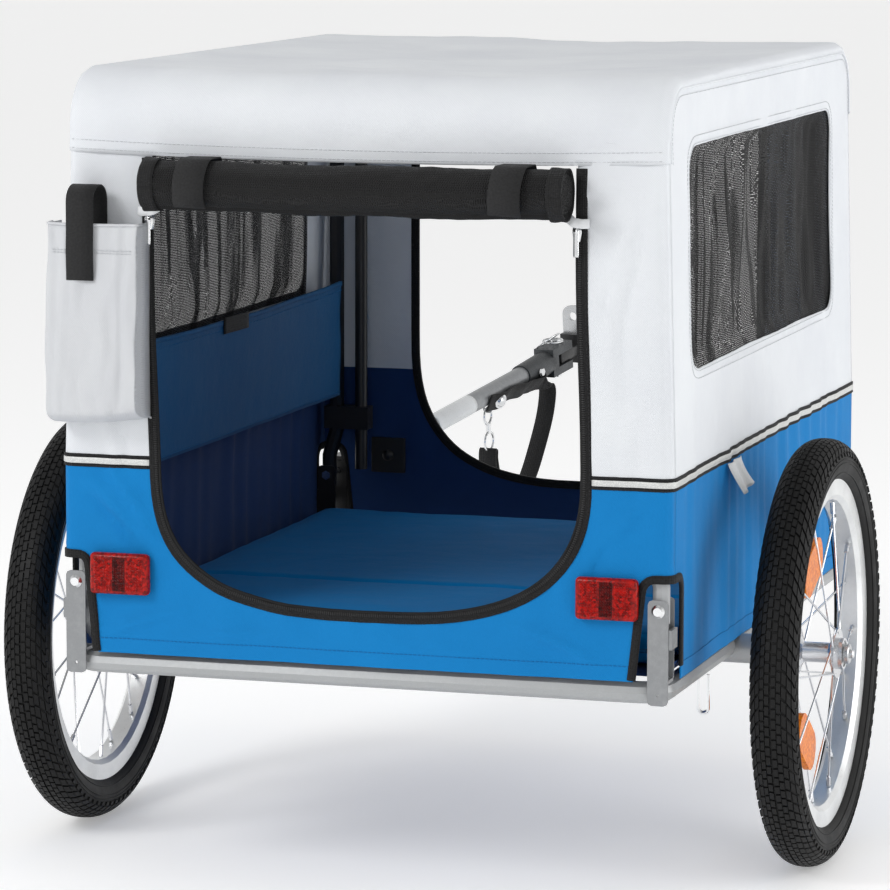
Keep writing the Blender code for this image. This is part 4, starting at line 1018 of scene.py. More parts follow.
def window(hand, side):
    """Mesh window, gathered into uneven upright pleats, with the cover stitched round it."""
    (rear, low), _, (front, high), _ = window_corners(WINDOW_LAP)

    def place(t, r):
        y, z = rear + (front - rear) * t, low + (high - low) * r
        edge = ease(t * 14) * ease((1 - t) * 14) * ease(r * 9) * ease((1 - r) * 9)
        pleat = 1.3 * swell(t * 13 + 1.2 * r, z * 1.8, 3 + side) + 0.75 * swell(t * 30 - r, z * 2.2, 9)
        sway = 0.004 * math.sin(9 * t + 2 * r)
        point = side_at(side, y + sway * edge, z, -0.0022 + (0.0068 * pleat - 0.0066) * edge)
        return point, (y * (1 + 0.15 * pleat * edge), z)
    pane = sheet(f"window_mesh_cloth_{hand}", 34, 190, place, "window", side < 0)
    mounted(pane, [f"window_mesh_{hand}"])
    rows = []
    for grow in (0.0018, 0.0085):
        outline = rounded_outline(window_corners(grow), WINDOW_R + grow, 8)
        path = [side_at(side, y, z, 0.0001) for y, z in outline]
        rows.append(bricks("row", path, wall_facing, *FINE_STITCH, "thread_grey", True))
    mounted(merged(f"window_stitches_{hand}", rows))


def cover():
    end_wall("cover_rear", "rear_wall", rear_at, DOOR_HALF_W, DOOR_BOTTOM, DOOR_CORNER_H, CUTOUT_X,
             door_shift)
    end_wall("cover_front", "front_wall", front_at, FRONT_HALF_W, FRONT_BOTTOM, FRONT_CORNER_H,
             FRONT_CUTOUT_X)
    for hand, side in HANDS.items():
        side_wall(hand, side)
        window(hand, side)
    roof()
    seams()
    rear_zip()
    front_binding()
    cutout_bindings()
    stripe()
    hem()


# ---- bags, roll and floor ----
def storage_pocket():
    """Outside pocket: a bag on three sides of a rectangle, fuller below, open at the top, with a hem."""
    low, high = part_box("storage_pocket")
    left, right, bottom, top = low.x - 0.0010, high.x + 0.0050, low.z - 0.0040, high.z - 0.0080
    reach, lip, turn_h = 0.0400, 0.0330, 0.0140
    rows, columns, round_rows = 40, 64, 7
    verts, uvs = [], []
    for i in range(rows + round_rows):
        if i < round_rows:
            a = math.pi / 2 * i / round_rows
            z, share = bottom + turn_h * (1 - math.cos(a)), 0.04 + 0.96 * math.sin(a)
        else:
            z, share = bottom + turn_h + (top - bottom - turn_h) * (i - round_rows) / (rows - 1), 1.0
        r = (z - bottom) / (top - bottom)
        depth = (reach + (lip - reach) * r + 0.004 * math.sin(math.pi * r)) * share
        for j in range(columns):
            t = j / (columns - 1)
            around = 2 * t - 1
            x_share = math.copysign(min(1.0, abs(around) * 1.30) ** 0.9, around)
            out_share = max(0.0, 1 - max(0.0, (abs(around) - 0.72) / 0.28) ** 1.6) ** 0.30
            if abs(around) >= 0.999:
                out_share = 0.0
            fold = 0.0052 * swell(t * 4.2, r * 2.2, 51)
            fold += 0.0020 * swell(t * 11, r * 5, 53)
            crease = -0.0030 * math.exp(-((t - 0.74) / 0.022) ** 2) * ease(r * 4) * (1 - r)
            x = (left + right) / 2 + (right - left) / 2 * x_share
            x += 0.0022 * swell(r * 4, around, 57) * out_share
            y = REAR_Y - 0.0006 - depth * out_share - (fold + crease) * out_share * share
            lift = 0.0040 * around * (1 - r) - 0.0030 * math.sin(math.pi * t) * (1 if i < round_rows else 0.3)
            verts.append((x, y, z + lift * out_share))
            uvs.append((t * 0.15, z))
    bag = new_object("pocket_bag", verts, grid_faces(rows + round_rows, columns), "grey_bag", uvs)
    thicken(bag, 0.0011)
    mounted(bag, nodes=["storage_pocket"])

    def front(t, z, out=0.0):
        """Point of the finished bag, t across it."""
        row = round_rows + (z - bottom - turn_h) / (top - bottom - turn_h) * (rows - 1)
        i = min(rows + round_rows - 1, max(round_rows, round(row)))
        j = min(columns - 1, max(0, round(t * (columns - 1))))
        place = Vector(verts[i * columns + j])
        return Vector((place.x, place.y - out, z))
    stitches = []
    for z in (top - 0.0260, top - 0.0235):
        path = [front(t, z, 0.0002) for t in spaced(0.17, 0.83, 30)]
        stitches.append(bricks("row", path, always(0, -1, 0), *FINE_STITCH, "thread_grey"))
    path = [front(0.93, z, 0.0002) for z in spaced(bottom + 0.02, top - 0.01, 30)]
    stitches.append(bricks("row", path, always(1, -0.3, 0), *FINE_STITCH, "thread_grey"))
    mounted(merged("pocket_stitches", stitches))
    lip_path = [Vector(verts[(rows + round_rows - 1) * columns + j]) for j in range(1, columns - 1)]
    mounted(sweep("pocket_rim", lip_path, UPWARDS, round_profile(0.0014), "grey_bag", 0.004))
    strap_x, arch_z = (low.x + high.x) / 2 - 0.0080, 0.6290
    drop = [front(0.44, 0.6060 - 0.0068 * k, 0.0026) for k in range(8)]
    back_y, front_y = REAR_Y - 0.0030, drop[0].y
    middle, half = (back_y + front_y) / 2, (back_y - front_y) / 2
    path = [Vector((strap_x, REAR_Y - 0.0026, 0.5900)), Vector((strap_x, back_y, 0.6150))]
    for a in spaced(0, math.pi, 24):
        path.append(Vector((strap_x, middle + half * math.cos(a), arch_z + 0.0140 * math.sin(a))))
    path.append(Vector((strap_x, front_y, 0.6170)))
    path += [Vector((strap_x, point.y, point.z)) for point in drop]

    def away(point):
        """Outwards from a line inside the strap's arch."""
        if point.z > arch_z:
            return Vector((0, point.y - middle, (point.z - arch_z) * 2))
        return Vector((0, 1 if point.y > middle else -1, 0))
    band = sweep("pocket_strap", path, away, box_profile(-0.0128, 0.0128, -0.0008, 0.0008), "strap", 0.004)
    mounted(band)


def door_roll():
    """The rolled-up mesh door: loose layers, plain black tape at both ends."""
    low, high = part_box("rear_door_roll")
    y, z, radius = (low.y + high.y) / 2, (low.z + high.z) / 2, (high.z - low.z) / 2
    length, columns, around = high.x - low.x, 150, 56
    verts, uvs = [], []
    for i in range(columns):
        t = i / (columns - 1)
        x = low.x + length * t
        for j in range(around):
            a = 2 * math.pi * j / around
            layer = 0.0022 * ((j / around + 0.18) % 1.0)
            loose = 0.0016 * swell(t * 6, math.cos(a) * 1.4, math.sin(a) * 1.4)
            loose += 0.0007 * swell(t * 30, math.cos(a) * 3, math.sin(a) * 3)
            sag = 0.0016 * math.sin(math.pi * t) * (1 if math.sin(a) < 0 else 0.3)
            r = radius - 0.0012 + layer + loose
            verts.append((x, y - r * math.cos(a), z - 0.0004 + r * math.sin(a) - sag))
            uvs.append((x, r * a))
    faces = grid_faces(columns, around, wrap_columns=True)
    for end, base in ((0, 0), (1, (columns - 1) * around)):
        outward = -1 if end == 0 else 1
        previous = list(range(base, base + around))
        rim_x = verts[base][0]
        for ring in range(1, 9):
            start = len(verts)
            share = 1 - ring / 9
            dip = (0.0022 if ring % 2 else -0.0006) - 0.0006 * ring * 0.3
            for j in range(around):
                a = 2 * math.pi * j / around
                r = radius * share * (1 + 0.06 * math.sin(a * 2 + ring))
                verts.append((rim_x - outward * dip, y - r * math.cos(a), z + r * math.sin(a)))
                uvs.append((r * math.cos(a), r * math.sin(a)))
            current = list(range(start, start + around))
            for j in range(around):
                k = (j + 1) % around
                quad = (previous[j], previous[k], current[k], current[j])
                faces.append(quad if end == 0 else quad[::-1])
            previous = current
        faces.append(tuple(previous) if end == 0 else tuple(previous[::-1]))
    roll = new_object("door_roll_mesh", verts, [face[::-1] for face in faces], "rolled_mesh", uvs)
    mounted(roll, ["rear_door_roll"])
    for hand, x_from, x_to in (("left", low.x - 0.0012, low.x + 0.0130),
                               ("right", high.x - 0.0130, high.x + 0.0012)):
        ring_verts, ring_uvs = [], []
        for x in spaced(x_from, x_to, 5):
            for j in range(around):
                a = 2 * math.pi * j / around
                bulge = 0.0016 * swell(x * 90, math.cos(a) * 2, math.sin(a) * 2)
                r = radius + 0.0012 + bulge + 0.0016 * ((j / around + 0.18) % 1.0)
                ring_verts.append((x, y - r * math.cos(a), z - 0.0004 + r * math.sin(a)))
                ring_uvs.append((x, r * a))
        faces = [face[::-1] for face in grid_faces(6, around, wrap_columns=True)]
        band = new_object(f"door_roll_edge_{hand}", ring_verts, faces, "tape", ring_uvs)
        mounted(thicken(band, 0.0012))
    for hand, middle, skew in (("left", -0.1450, -0.0030), ("right", 0.1470, -0.0040)):
        wrap = radius + 0.0034
        path = [Vector((middle, REAR_Y - 0.0012, 0.6650)), Vector((middle, REAR_Y - 0.0040, 0.6690))]
        for t in spaced(0, 1, 21):
            a = math.radians(66 - 116 * t)
            path.append(Vector((middle + skew * t, y - wrap * math.cos(a), z + wrap * math.sin(a))))
        band = sweep(f"roll_strap_{hand}", path, lambda p: Vector((0, p.y - y, p.z - z)),
                     box_profile(-0.0145, 0.0145, 0.0, 0.0011), "strap", 0.003)
        mounted(band)


CLOTH_FRAMES = 20


def blow_up(obj, voxel, pressure, cap):
    """Padded form by cloth simulation: the remeshed shape swells, and no point moves further than the cap."""
    remesh = obj.modifiers.new("remesh", "REMESH")
    remesh.mode = "VOXEL"
    remesh.voxel_size = voxel
    bpy.context.view_layer.objects.active = obj
    bpy.ops.object.modifier_apply(modifier=remesh.name)
    start = [vert.co.copy() for vert in obj.data.vertices]
    soft = obj.modifiers.new("cloth", "CLOTH")
    soft.settings.use_pressure = True
    soft.settings.uniform_pressure_force = pressure
    soft.settings.effector_weights.gravity = 0.0
    soft.settings.tension_stiffness = 18
    soft.settings.compression_stiffness = 12
    soft.settings.bending_stiffness = 0.6
    soft.point_cache.frame_start, soft.point_cache.frame_end = 1, CLOTH_FRAMES
    for step in range(1, CLOTH_FRAMES + 1):
        bpy.context.scene.frame_set(step)
    shape = obj.evaluated_get(bpy.context.evaluated_depsgraph_get())
    moved = [vert.co.copy() for vert in shape.data.vertices]
    obj.modifiers.remove(soft)
    bpy.context.scene.frame_set(1)
    for vert, before, after in zip(obj.data.vertices, start, moved):
        shift = after - before
        vert.co = before + (shift if shift.length < cap else shift.normalized() * cap)
    smooth = obj.modifiers.new("subdivide", "SUBSURF")
    smooth.levels = smooth.render_levels = 1
    bpy.context.view_layer.objects.active = obj
    bpy.ops.object.modifier_apply(modifier=smooth.name)
    obj.data.polygons.foreach_set("use_smooth", [True] * len(obj.data.polygons))
    return obj


def floor_mat():
    """Padded mat: two stiff boards in one cover, with a sewn channel between them and a piped edge."""
    low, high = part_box("floor_mat")
    inset, middle, channel_y = 0.0060, (low.z + high.z) / 2, low.y + (high.y - low.y) * 0.30
    size = (high.x - low.x - 2 * inset, high.y - low.y - 2 * inset, high.z - low.z - 0.0080)
    mat = blow_up(block("floor_mat_cloth", (low + high) / 2, size, "mat"), 0.0060, 4.0, 0.0045)
    for vert in mat.data.vertices:
        co = vert.co
        wave = 0.0012 * swell(co.x * 9, co.y * 9, 61) + 0.0006 * swell(co.x * 30, co.y * 30, 63)
        if co.z > middle:
            co.z += wave - 0.0040 * math.exp(-((co.y - channel_y) / 0.006) ** 2)
        else:
            co.z = max(co.z, low.z + 0.0003)
    mounted(mat, ["floor_mat"], folds=False)
    outline = rounded_outline([(low.x, low.y), (high.x, low.y), (high.x, high.y), (low.x, high.y)], 0.020)
    piping = sweep("floor_mat_piping", [Vector((x, y, middle)) for x, y in outline], UPWARDS,
                   round_profile(0.0020), "pocket_blue", 0.008, True)
    mounted(piping, folds=False)
    line = [Vector((x, channel_y, high.z - 0.0042)) for x in spaced(low.x + 0.012, high.x - 0.012, 60)]
    stitches = bricks("floor_mat_stitches", line, UPWARDS, 0.0045, (0.0032, 0.0007, 0.0006), "thread_blue",
                      lift=0.0004)
    mounted(stitches, folds=False)


def floor_sheet():
    """Floor cloth, slack between the rails and turned up a little inside the walls."""
    low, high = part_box("floor_tub")

    def place(t, r):
        a, b = 2 * t - 1, 2 * r - 1
        x = a * (high.x - 0.0030)
        y = (low.y + high.y) / 2 + b * ((high.y - low.y) / 2 - 0.0010)
        rise = 0.014 * ease((abs(a) - 0.955) / 0.045)
        wave = 0.0012 * swell(x * 12, y * 12, 71) * (1 - abs(a) ** 6) * (1 - abs(b) ** 6)
        return (x, y, low.z + 0.0002 + rise + wave * 0.5), (x, y)
    cloth_piece = thicken(sheet("floor_sheet_cloth", 70, 56, place, "navy"), 0.0010, 1.0)
    mounted(cloth_piece, ["floor_tub"], folds=False)


def wall_pocket():
    """Long organiser pocket inside the left wall: its mouth hangs a little open, under a black band."""
    low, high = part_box("wall_pocket")
    face = (low.x + high.x) / 2

    def place(t, r, out=0.0):
        belly = 0.0060 * math.sin(math.pi * t) * ease(r) + 0.0020 * swell(t * 6, r * 2, 81)
        sag = -0.0030 * math.sin(math.pi * t) * r
        return Vector((face + belly - 0.0020 * (1 - r) + out, low.y + (high.y - low.y) * t,
                       low.z + (high.z - low.z) * r + sag))

    def with_uv(t, r):
        point = place(t, r)
        return point, (point.y, point.z)
    cloth_piece = thicken(sheet("wall_pocket_cloth", 22, 90, with_uv, "pocket_blue"), 0.0014, 0.0)
    mounted(cloth_piece, ["wall_pocket"])
    rim = sweep("wall_pocket_edge", [place(t, 1.0) for t in spaced(0, 1, 60)], UPWARDS,
                box_profile(-0.0014, 0.0014, -0.0035, 0.0010), "pocket_blue", 0.006)
    mounted(rim)
    rows = [bricks("row", [place(t, r, 0.0008) for t in spaced(0, 1, 60)], RIGHTWARDS, *WALL_STITCH,
                   "thread_blue") for r in (0.03, 0.93)]
    mounted(merged("wall_pocket_stitches", rows))
    tab = [place(t, 1.0, 0.0016) - Vector((0, 0, 0.004)) for t in spaced(0.42, 0.52, 10)]
    mounted(sweep("wall_pocket_band", tab, RIGHTWARDS, tape_profile(0.0160, 0.0012), "tape", 0.006))


def fabric_tag():
    """Blank folded tag sewn in under the stripe of the right wall."""
    start, end, drop = AXLE_Y - 0.0735, AXLE_Y - 0.0135, 0.0265

    def place(t, r):
        flare = 0.0165 * r ** 1.3 + 0.0015 * math.sin(3 * t + 2 * r)
        base = side_at(1, start + (end - start) * t, STRIPE_Z - STRIPE_W / 2 - drop * r, 0.0022)
        return base + Vector((flare, -0.0080 * r, 0.0030 * t * r)), (t * 0.048, r * drop)
    mounted(thicken(sheet("blank_tag", 12, 14, place, "label", True), 0.0005, 0.0))


def white_loops():
    """Small loops at the top of the rear opening, for the roll's hooks."""
    for hand, side in HANDS.items():
        at = side * (DOOR_HALF_W + 0.0060) + door_shift(0.618)
        bends = ((-0.0125, 0.6225, 0.0032), (-0.0080, 0.6200, 0.0075), (0.0, 0.6190, 0.0060),
                 (0.0060, 0.6190, 0.0030))
        path = [rear_at(at + side * x, z, out) for x, z, out in bends]
        mounted(sweep(f"white_loop_{hand}", path, always(0, -1, 0.1), tape_profile(0.0085, 0.0012),
                      "white_plastic", 0.002))


def reflectors():
    """Red reflectors: a rounded frame round three fields of small pyramids, the middle field darker."""
    margin, gap = 0.0042, 0.0014
    for hand in HANDS:
        low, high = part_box(f"rear_reflector_{hand}")
        body = block(f"reflector_body_{hand}", (low + high) / 2, high - low, "red")
        soften(body, 0.0042, 4)
        body.data.polygons.foreach_set("use_smooth", [True] * len(body.data.polygons))
        mounted(body, [f"rear_reflector_{hand}"], folds=False)
        edges = [low.x + margin + (high.x - low.x - 2 * margin) * share for share in (0.0, 0.36, 0.64, 1.0)]
        for k, (left, right) in enumerate(zip(edges, edges[1:])):
            corner = Vector((left + gap / 2, low.y, low.z + margin * 0.8))
            width, height = right - left - gap, high.z - low.z - margin * 1.6
            verts, faces = prism_field(corner, width, height, 0.0027)
            field = new_object(f"reflector_field_{hand}_{k + 1}", verts, faces,
                               "red_dark" if k == 1 else "red", [(v[0], v[2]) for v in verts], False)
            mounted(field, folds=False)


def prism_field(corner, width, height, pitch):
    """Closed plate of small pyramids that look backwards, from its lower left corner."""
    across, down = max(1, round(width / pitch)), max(1, round(height / pitch))

    def place(i, j, out):
        return corner.x + width * j / across, corner.y - out, corner.z + height * i / down
    verts = [place(i, j, 0.0003) for i in range(down + 1) for j in range(across + 1)]
    faces, flat, row = [], len(verts), across + 1
    for i in range(down):
        for j in range(across):
            a, peak = i * row + j, len(verts)
            verts.append(place(i + 0.5, j + 0.5, 0.0013))
            ring = (a, a + 1, a + row + 1, a + row)
            faces += [(ring[n], ring[(n + 1) % 4], peak) for n in range(4)]
    back = len(verts)
    verts += [place(i, j, -0.0012) for i, j in ((0, 0), (0, across), (down, across), (down, 0))]
    borders = (range(row), range(across, flat, row), range(flat - 1, flat - 1 - row, -1),
               range(flat - row, -1, -row))
    for n, border in enumerate(borders):
        faces.append(tuple(border)[::-1] + (back + n, back + (n + 1) % 4))
    faces.append((back + 3, back + 2, back + 1, back))
    return verts, faces


def zip_sliders():
    """Zip slider: two plates, their bail and the pull."""
    outline = [(-0.0030, -0.0072), (0.0030, -0.0072), (0.0046, 0.0010), (0.0038, 0.0072),
               (-0.0038, 0.0072), (-0.0046, 0.0010)]
    for hand in HANDS:
        low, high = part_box(f"zip_slider_{hand}")
        x, face, z = (low.x + high.x) / 2, high.y, high.z - 0.0070
        parts = []
        for depth in (0.0008, 0.0034):
            plate = [(x + px, face - depth, z + pz) for px, pz in outline]
            plate += [(x + px * 0.9, face - depth - 0.0011, z + pz * 0.95) for px, pz in outline]
            faces = [tuple(range(6))[::-1], tuple(range(6, 12))]
            faces += [(k, (k + 1) % 6, 6 + (k + 1) % 6, 6 + k) for k in range(6)]
            parts.append(new_object("plate", plate, [f[::-1] for f in faces], "zinc"))
        bends = ((0.0040, 0.0055), (0.0072, 0.0050), (0.0078, 0.0010), (0.0042, -0.0035))
        bail = [Vector((x, face - out, z + up)) for out, up in bends]
        parts.append(sweep("bail", bail, RIGHTWARDS, round_profile(0.0008), "zinc", 0.001))
        tongue = [Vector((x, face - 0.0070, z + 0.0035 - 0.003 * k)) for k in range(9)]
        section = [(-0.0021, -0.0005), (-0.0025, 0.0005), (0.0025, 0.0005), (0.0021, -0.0005)]
        parts.append(sweep("tongue", tongue, always(0, -1, 0), section, "zinc", 0.002))
        slider = merged(f"zip_slider_metal_{hand}", parts)
        mounted(slider, [f"zip_slider_{hand}"], f"{hand}_zip_slider")


# ---- wheels ----
def wheel_spot(side, angle, radius, x):
    """Place on a wheel: angle from straight ahead, upwards; x outwards from the wheel's plane."""
    return Vector((side * (WHEEL_X + x), AXLE_Y + radius * math.cos(angle),
                   AXLE_Z + radius * math.sin(angle)))


TYRE_DEPTH = 0.0395
TYRE_HALF_W = (TYRE_HIGH.x - TYRE_LOW.x) / 2
TREAD_H = 0.0017
TREAD_ROWS = (              # degrees from the crown, width in degrees, blocks, slant, offset, share filled
    (5.7, 9.0, 128, 0.0, 0.0, 0.86), (16.6, 10.0, 128, 4.0, 0.5, 0.86),
    (29.2, 12.0, 96, 12.0, 0.0, 0.86), (43.5, 13.0, 96, 22.0, 0.5, 0.84),
    (58.5, 13.0, 96, 30.0, 0.0, 0.80), (72.0, 10.0, 96, 0.0, 0.5, 0.50),
)


def tyre_section(phi, lift=0.0):
    """(radius, x) of the tyre's skin, phi from the crown towards the rim."""
    middle = WHEEL_R - TREAD_H - TYRE_DEPTH / 2
    half_h, half_w = TYRE_DEPTH / 2 + lift, TYRE_HALF_W - 0.0010 + lift
    c, s = math.cos(phi), math.sin(phi)
    return middle + half_h * math.copysign(abs(c) ** 0.92, c), half_w * math.copysign(abs(s) ** 0.86, s)


def tyre(hand, side):
    """Tyre with raised blocks: rows round the crown, slanted blocks beside them, lugs on the shoulders."""
    around, across = 180, 34
    bead = math.radians(146)
    verts, uvs = [], []
    for i in range(around):
        angle = 2 * math.pi * i / around
        for j in range(across):
            phi = bead * (2 * j / (across - 1) - 1)
            radius, x = tyre_section(phi)
            verts.append(wheel_spot(side, angle, radius, x))
            uvs.append((angle * WHEEL_R, phi * 0.02))
    faces = grid_faces(around, across, wrap_rows=True)
    for i in range(around):
        a, b = i * across, (i + 1) % around * across
        faces.append((a, b, b + across - 1, a + across - 1))
    for centre, width, count, slant, offset, fill in TREAD_ROWS:
        for mirror in (-1, 1):
            for k in range(count):
                middle = 2 * math.pi * (k + offset + (0.25 if mirror > 0 else 0.0)) / count
                half = math.pi / count * fill
                base = len(verts)
                for lift, grow in ((-0.0006, 1.0), (TREAD_H, 0.90)):
                    for end in (-1, 1):
                        for edge in (-1, 1):
                            phi = math.radians(mirror * (centre + edge * width / 2 * (0.5 + 0.5 * grow)))
                            lean = math.radians(slant) * edge * 0.035
                            radius, x = tyre_section(phi, lift)
                            verts.append(wheel_spot(side, middle + end * half * grow + lean, radius, x))
                            uvs.append((middle * WHEEL_R, centre * 0.001))
                shell = ((4, 5, 7, 6), (0, 4, 6, 2), (1, 3, 7, 5), (0, 1, 5, 4), (2, 6, 7, 3), (0, 2, 3, 1))
                faces += [tuple(base + n for n in (f[::-1] if mirror > 0 else f)) for f in shell]
    faces = [tuple(f[::-1]) for f in faces] if side < 0 else faces
    body = new_object(f"tyre_tread_{hand}", verts, faces, "tyre", uvs, False)
    flags = [len(p.vertices) == 4 and p.index < around * (across - 1) for p in body.data.polygons]
    body.data.polygons.foreach_set("use_smooth", flags)
    bm = bmesh.new()
    bm.from_mesh(body.data)
    bmesh.ops.recalc_face_normals(bm, faces=bm.faces[:])
    bm.to_mesh(body.data)
    bm.free()
    mounted(body, [f"tyre_{hand}"], f"{hand}_wheel", False)
    ribs = []
    for mirror in (-1, 1):
        for degrees in (84, 92, 118):
            radius, x = tyre_section(math.radians(mirror * degrees))
            path = [wheel_spot(side, 2 * math.pi * k / 120, radius, x) for k in range(120)]
            ribs.append(sweep("rib", path, RIGHTWARDS, round_profile(0.0007, 6), "tyre", 0.012, True))
    mounted(merged(f"tyre_ribs_{hand}", ribs), (), f"{hand}_wheel", False)


# ---- tow arm ----
PIVOT = sum(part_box("arm_pivot_pin"), Vector()) / 2
ARM_PATH = Vector((0.078, 0.470, 0.0625))
ARM_LENGTH = ARM_PATH.length
ALONG = ARM_PATH.normalized()
ACROSS = ALONG.cross(Vector((0, 0, 1))).normalized()
ARM_UP = ACROSS.cross(ALONG)
ARM_R = 0.0110
HOOK_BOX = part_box("snap_hook")
HOOK_LOW = Vector(((HOOK_BOX[0].x + HOOK_BOX[1].x) / 2, (HOOK_BOX[0].y + HOOK_BOX[1].y) / 2, HOOK_BOX[0].z))


def on_arm(t, right=0.0, up=0.0):
    """Place by distance along the tow arm from its pivot, to its right and above it."""
    return PIVOT + ALONG * t + ACROSS * right + ARM_UP * up


def arm_label():
    """Blank sticker wrapped three quarters of the way round the arm."""
    radius = ARM_R + 0.0003

    def place(t, r):
        along, a = 0.1960 + 0.0960 * r, math.radians(-150 + 270 * t)
        return on_arm(along, radius * math.cos(a), radius * math.sin(a)), (along, a * radius)
    label = thicken(sheet("arm_label", 20, 20, place, "label"), 0.0003, 1.0)
    mounted(label, (), "tow_arm", False)


def safety_strap():
    """Safety webbing: along the arm's lower right side in slack waves, then down and back to the hook."""
    width, start, turn = 0.0215, ARM_LENGTH - 0.1600, ARM_LENGTH - 0.0100
    path = []
    for share in spaced(0, 1, 16):
        t = start + (turn - start) * share
        angle = math.radians(-22 - 26 * share)
        radius = ARM_R + 0.0016 + 0.0052 * ease((t - ARM_LENGTH + 0.062) / 0.020)
        radius += 0.0042 * math.sin(math.pi * 2.5 * share) ** 2 * ease((1 - share) * 5)
        path.append(on_arm(t, radius * math.cos(angle), radius * math.sin(angle)))
    fall = ((0.0120, -0.0215), (0.0200, -0.0290), (0.0190, -0.0420), (0.0080, -0.0640), (-0.0150, -0.0920),
            (-0.0420, -0.1190), (-0.0700, -0.1360), (-0.1000, -0.1400), (-0.1220, -0.1280),
            (-0.1340, -0.1080))
    path += [on_arm(ARM_LENGTH + t, 0, up) for t, up in fall]
    ring = HOOK_LOW - PIVOT
    hook_t, hook_up = ring.dot(ALONG), ring.dot(ARM_UP)
    bend = ((0.0018, -0.0100), (0.0026, 0.0020), (0.0000, 0.0046), (-0.0030, 0.0010), (-0.0046, -0.0120),
            (-0.0052, -0.0300))
    path += [on_arm(hook_t + t, 0, hook_up + up) for t, up in bend]
    smooth = [path[0]]
    for a, b, c, d in zip(path[:1] + path, path, path[1:], path[2:] + path[-1:]):
        for k in range(1, 5):
            s = k / 4
            smooth.append(0.5 * (2 * b + (c - a) * s + (2 * a - 5 * b + 4 * c - d) * s ** 2
                                 + (3 * b - a - 3 * c + d) * s ** 3))
    strap = sweep("safety_webbing", smooth, strap_facing, box_profile(-width / 2, width / 2, -0.0008, 0.0008),
                  "tape", 0.003)
    mounted(strap, ["safety_strap"], "tow_arm", False)


def strap_facing(point):
    """Which way the webbing's flat side looks: away from the arm beside it, and out of its loop below."""
    rel = point - PIVOT
    t, right, up = rel.dot(ALONG), rel.dot(ACROSS), rel.dot(ARM_UP)
    radial = ACROSS * right + ARM_UP * up
    centre = on_arm(ARM_LENGTH - 0.070, 0, -0.060)
    out = point - centre
    out -= ACROSS * out.dot(ACROSS)
    share = max(ease((t - ARM_LENGTH + 0.030) / 0.030), ease((-up - 0.024) / 0.020))
    return radial.normalized() * (1 - share) + out.normalized() * share


def ring_clip():
    """Spring wire ring through the head of the hitch pin."""
    low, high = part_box("hitch_pin")
    radius = 0.0150
    centre = Vector(((low.x + high.x) / 2, (low.y + high.y) / 2, high.z)) - ALONG * radius + ARM_UP * 0.0010
    right, up = ALONG * radius, (ARM_UP * 0.55 + ACROSS * 0.83) * radius
    turns = [2 * math.pi * k / 64 for k in range(64)]
    path = [centre + right * math.cos(a) + up * math.sin(a) for a in turns]
    ring = sweep("ring_clip", path, lambda p: p - centre, round_profile(0.0009), "zinc", 0.0015, True)
    mounted(ring, (), "hitch_pin", False)


def strap_stud():
    """Domed cap of the stud that fixes the safety webbing to the arm's lower right side."""
    around = 24
    out = (ACROSS * 0.9 - ARM_UP * 0.2 - ALONG * 0.3).normalized()
    side = out.cross(ALONG).normalized()
    profile = [(0.0088, 0.0), (0.0088, 0.0016), (0.0066, 0.0020)] + dome(0.0064, 0.0020, 0.0038, 1)
    verts, faces = turned(profile, on_arm(0.343, 0.0148, -0.0070), (side, side.cross(out), out), around)
    uvs = [(2 * math.pi * k / around, height) for _, height in profile for k in range(around)]
    stud = new_object("strap_stud", verts, faces, "zinc", uvs)
    stud.modifiers.new("split", "EDGE_SPLIT").split_angle = math.radians(35)
    mounted(stud, (), "tow_arm", False)


def corner_plate():
    """Black plate with a bolt on the front wall, beside the left hoop."""
    low, high = Vector((-0.2345, FRONT_Y - 0.0085, 0.2790)), Vector((-0.1970, FRONT_Y - 0.0050, 0.3165))
    centre = (low + high) / 2
    plate = block("corner_plate", centre, high - low, "black_plastic")
    mounted(soften(plate, 0.0012, 3), folds=False)
    profile = [(0.0064, 0.0), (0.0064, 0.0010)] + dome(0.0060, 0.0010, 0.0026, 0)
    axes = Vector((1, 0, 0)), Vector((0, 0, 1)), Vector((0, -1, 0))
    verts, faces = turned(profile, Vector((centre.x, low.y, centre.z)), axes, 24)
    bolt = new_object("corner_plate_bolt", verts, faces, "black_steel", [(v.x, v.z) for v in verts])
    mounted(bolt, folds=False)


def tow_arm_details():
    arm_label()
    safety_strap()
    ring_clip()
    strap_stud()
    corner_plate()


# ---- finishes of the CAD nodes that stay ----
FINISHES = {
    "silver": ["base_frame"],
    # The tow arm and the rear brackets get the silver paint darkened as painted shade.
    "painted_shade_silver": ["tow_arm", "bracket_rear"],
    "zinc": ["pivot_screw_", "tie_down_loop", "axle_button_", "hitch_pin", "arm_pivot_pin", "socket_bolt",
             "snap_hook"],
    "black_tube": ["hoop_", "front_stay_"],
    "rim": ["rim_"],
    "hub": ["laced_hub_"],
    "steel": ["bearing_", "wheel_axle_", "axle_eye"],
    "cast": ["hitch_socket"],
    "black_steel": ["hitch_coupler", "bracket_front", "arm_bracket"],
    "amber": ["spoke_reflector_"],
}


def finish_cad():
    """Gives every CAD node its material and smooth shading between its sharp edges."""
    for name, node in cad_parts.items():
        kinds = [kind for kind, starts in FINISHES.items() if any(name.startswith(start) for start in starts)]
        mesh = node.data
        mesh.materials.clear()
        mesh.materials.append(MATERIALS[kinds[0] if kinds else "silver"])
        mesh.polygons.foreach_set("material_index", [0] * len(mesh.polygons))
        for attribute in ("custom_normal", "sharp_edge", "sharp_face"):
            if attribute in mesh.attributes:
                mesh.attributes.remove(mesh.attributes[attribute])
        mesh.polygons.foreach_set("use_smooth", [True] * len(mesh.polygons))
        weld = node.modifiers.new("weld", "WELD")
        weld.merge_threshold = 0.00001
        split = node.modifiers.new("split", "EDGE_SPLIT")
        split.split_angle = math.radians(32)


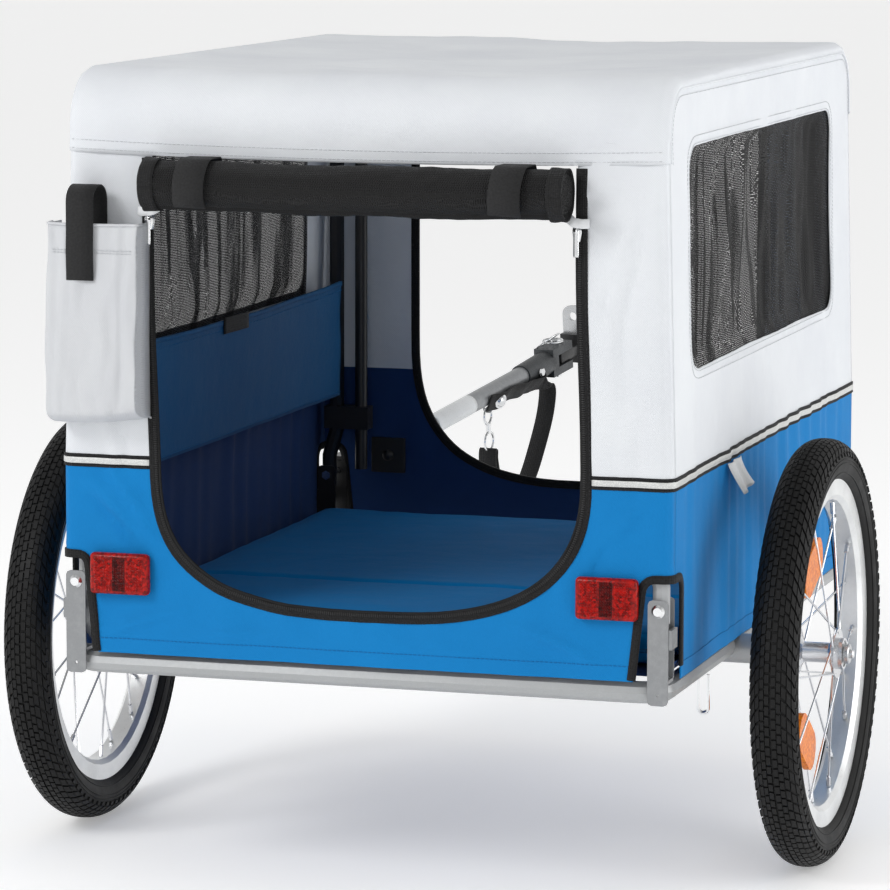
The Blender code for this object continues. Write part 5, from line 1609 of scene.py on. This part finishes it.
# ---- stage ----
def stage():
    """Pale floor, and a world that is brightest at the horizon."""
    bpy.ops.mesh.primitive_plane_add(size=160, location=(0, 0, -0.0005))
    floor = bpy.context.object
    floor.name = "floor"
    finish = bpy.data.materials.new("floor")
    finish.use_nodes = True
    shader = finish.node_tree.nodes["Principled BSDF"]
    for key, value in (("Base Color", (0.93, 0.93, 0.93, 1)), ("Roughness", 0.7),
                       ("Emission Color", (1, 1, 1, 1)), ("Emission Strength", 0.28)):
        shader.inputs[key].default_value = value
    floor.data.materials.append(finish)
    world = bpy.data.worlds.new("world")
    world.use_nodes = True
    tree = world.node_tree
    up = tree.nodes.new("ShaderNodeSeparateXYZ")
    tree.links.new(tree.nodes.new("ShaderNodeTexCoord").outputs["Generated"], up.inputs[0])
    dome = tree.nodes.new("ShaderNodeMapRange")
    tree.links.new(up.outputs[2], dome.inputs[0])
    for key, value in ((1, 0.0), (2, 0.9), (3, 1.10), (4, 0.42)):
        dome.inputs[key].default_value = value
    tree.links.new(dome.outputs[0], tree.nodes["Background"].inputs[1])
    tree.nodes["Background"].inputs[0].default_value = (1.0, 1.0, 1.0, 1)
    bpy.context.scene.world = world


def area_light(name, place, aim, size, power):
    light = bpy.data.lights.new(name, "AREA")
    light.shape = "RECTANGLE"
    light.size, light.size_y = size
    light.energy = power
    obj = bpy.data.objects.new(name, light)
    bpy.context.scene.collection.objects.link(obj)
    obj.location = place
    obj.rotation_euler = (Vector(aim) - Vector(place)).to_track_quat("-Z", "Y").to_euler()


def lights():
    middle = (0.0, MIDDLE_Y, 0.40)
    area_light("key", (-1.6, AXLE_Y - 2.6, 2.4), middle, (1.2, 1.2), 44)
    area_light("side", (2.8, AXLE_Y + 0.2, 1.1), middle, (1.6, 2.0), 25)
    area_light("top", (0.0, AXLE_Y + 0.3, 3.0), middle, (2.4, 2.4), 4)


def camera():
    """Photo's viewpoint, measured from the wheel axle."""
    view = bpy.data.cameras.new("camera")
    view.lens = 186.75
    view.sensor_width = 36.0
    view.clip_end = 60
    obj = bpy.data.objects.new("camera", view)
    bpy.context.scene.collection.objects.link(obj)
    obj.location = (1.2529, AXLE_Y - 4.1647, 0.9639)
    obj.rotation_euler = (math.radians(90 - 7.644), math.radians(-0.15), math.radians(16.8147))
    bpy.context.scene.camera = obj
    bpy.context.scene.view_settings.view_transform = "Standard"


cover()
storage_pocket()
door_roll()
floor_sheet()
floor_mat()
wall_pocket()
fabric_tag()
white_loops()
reflectors()
zip_sliders()
for wheel_hand, wheel_side in HANDS.items():
    tyre(wheel_hand, wheel_side)
tow_arm_details()
finish_cad()
stage()
lights()
camera()
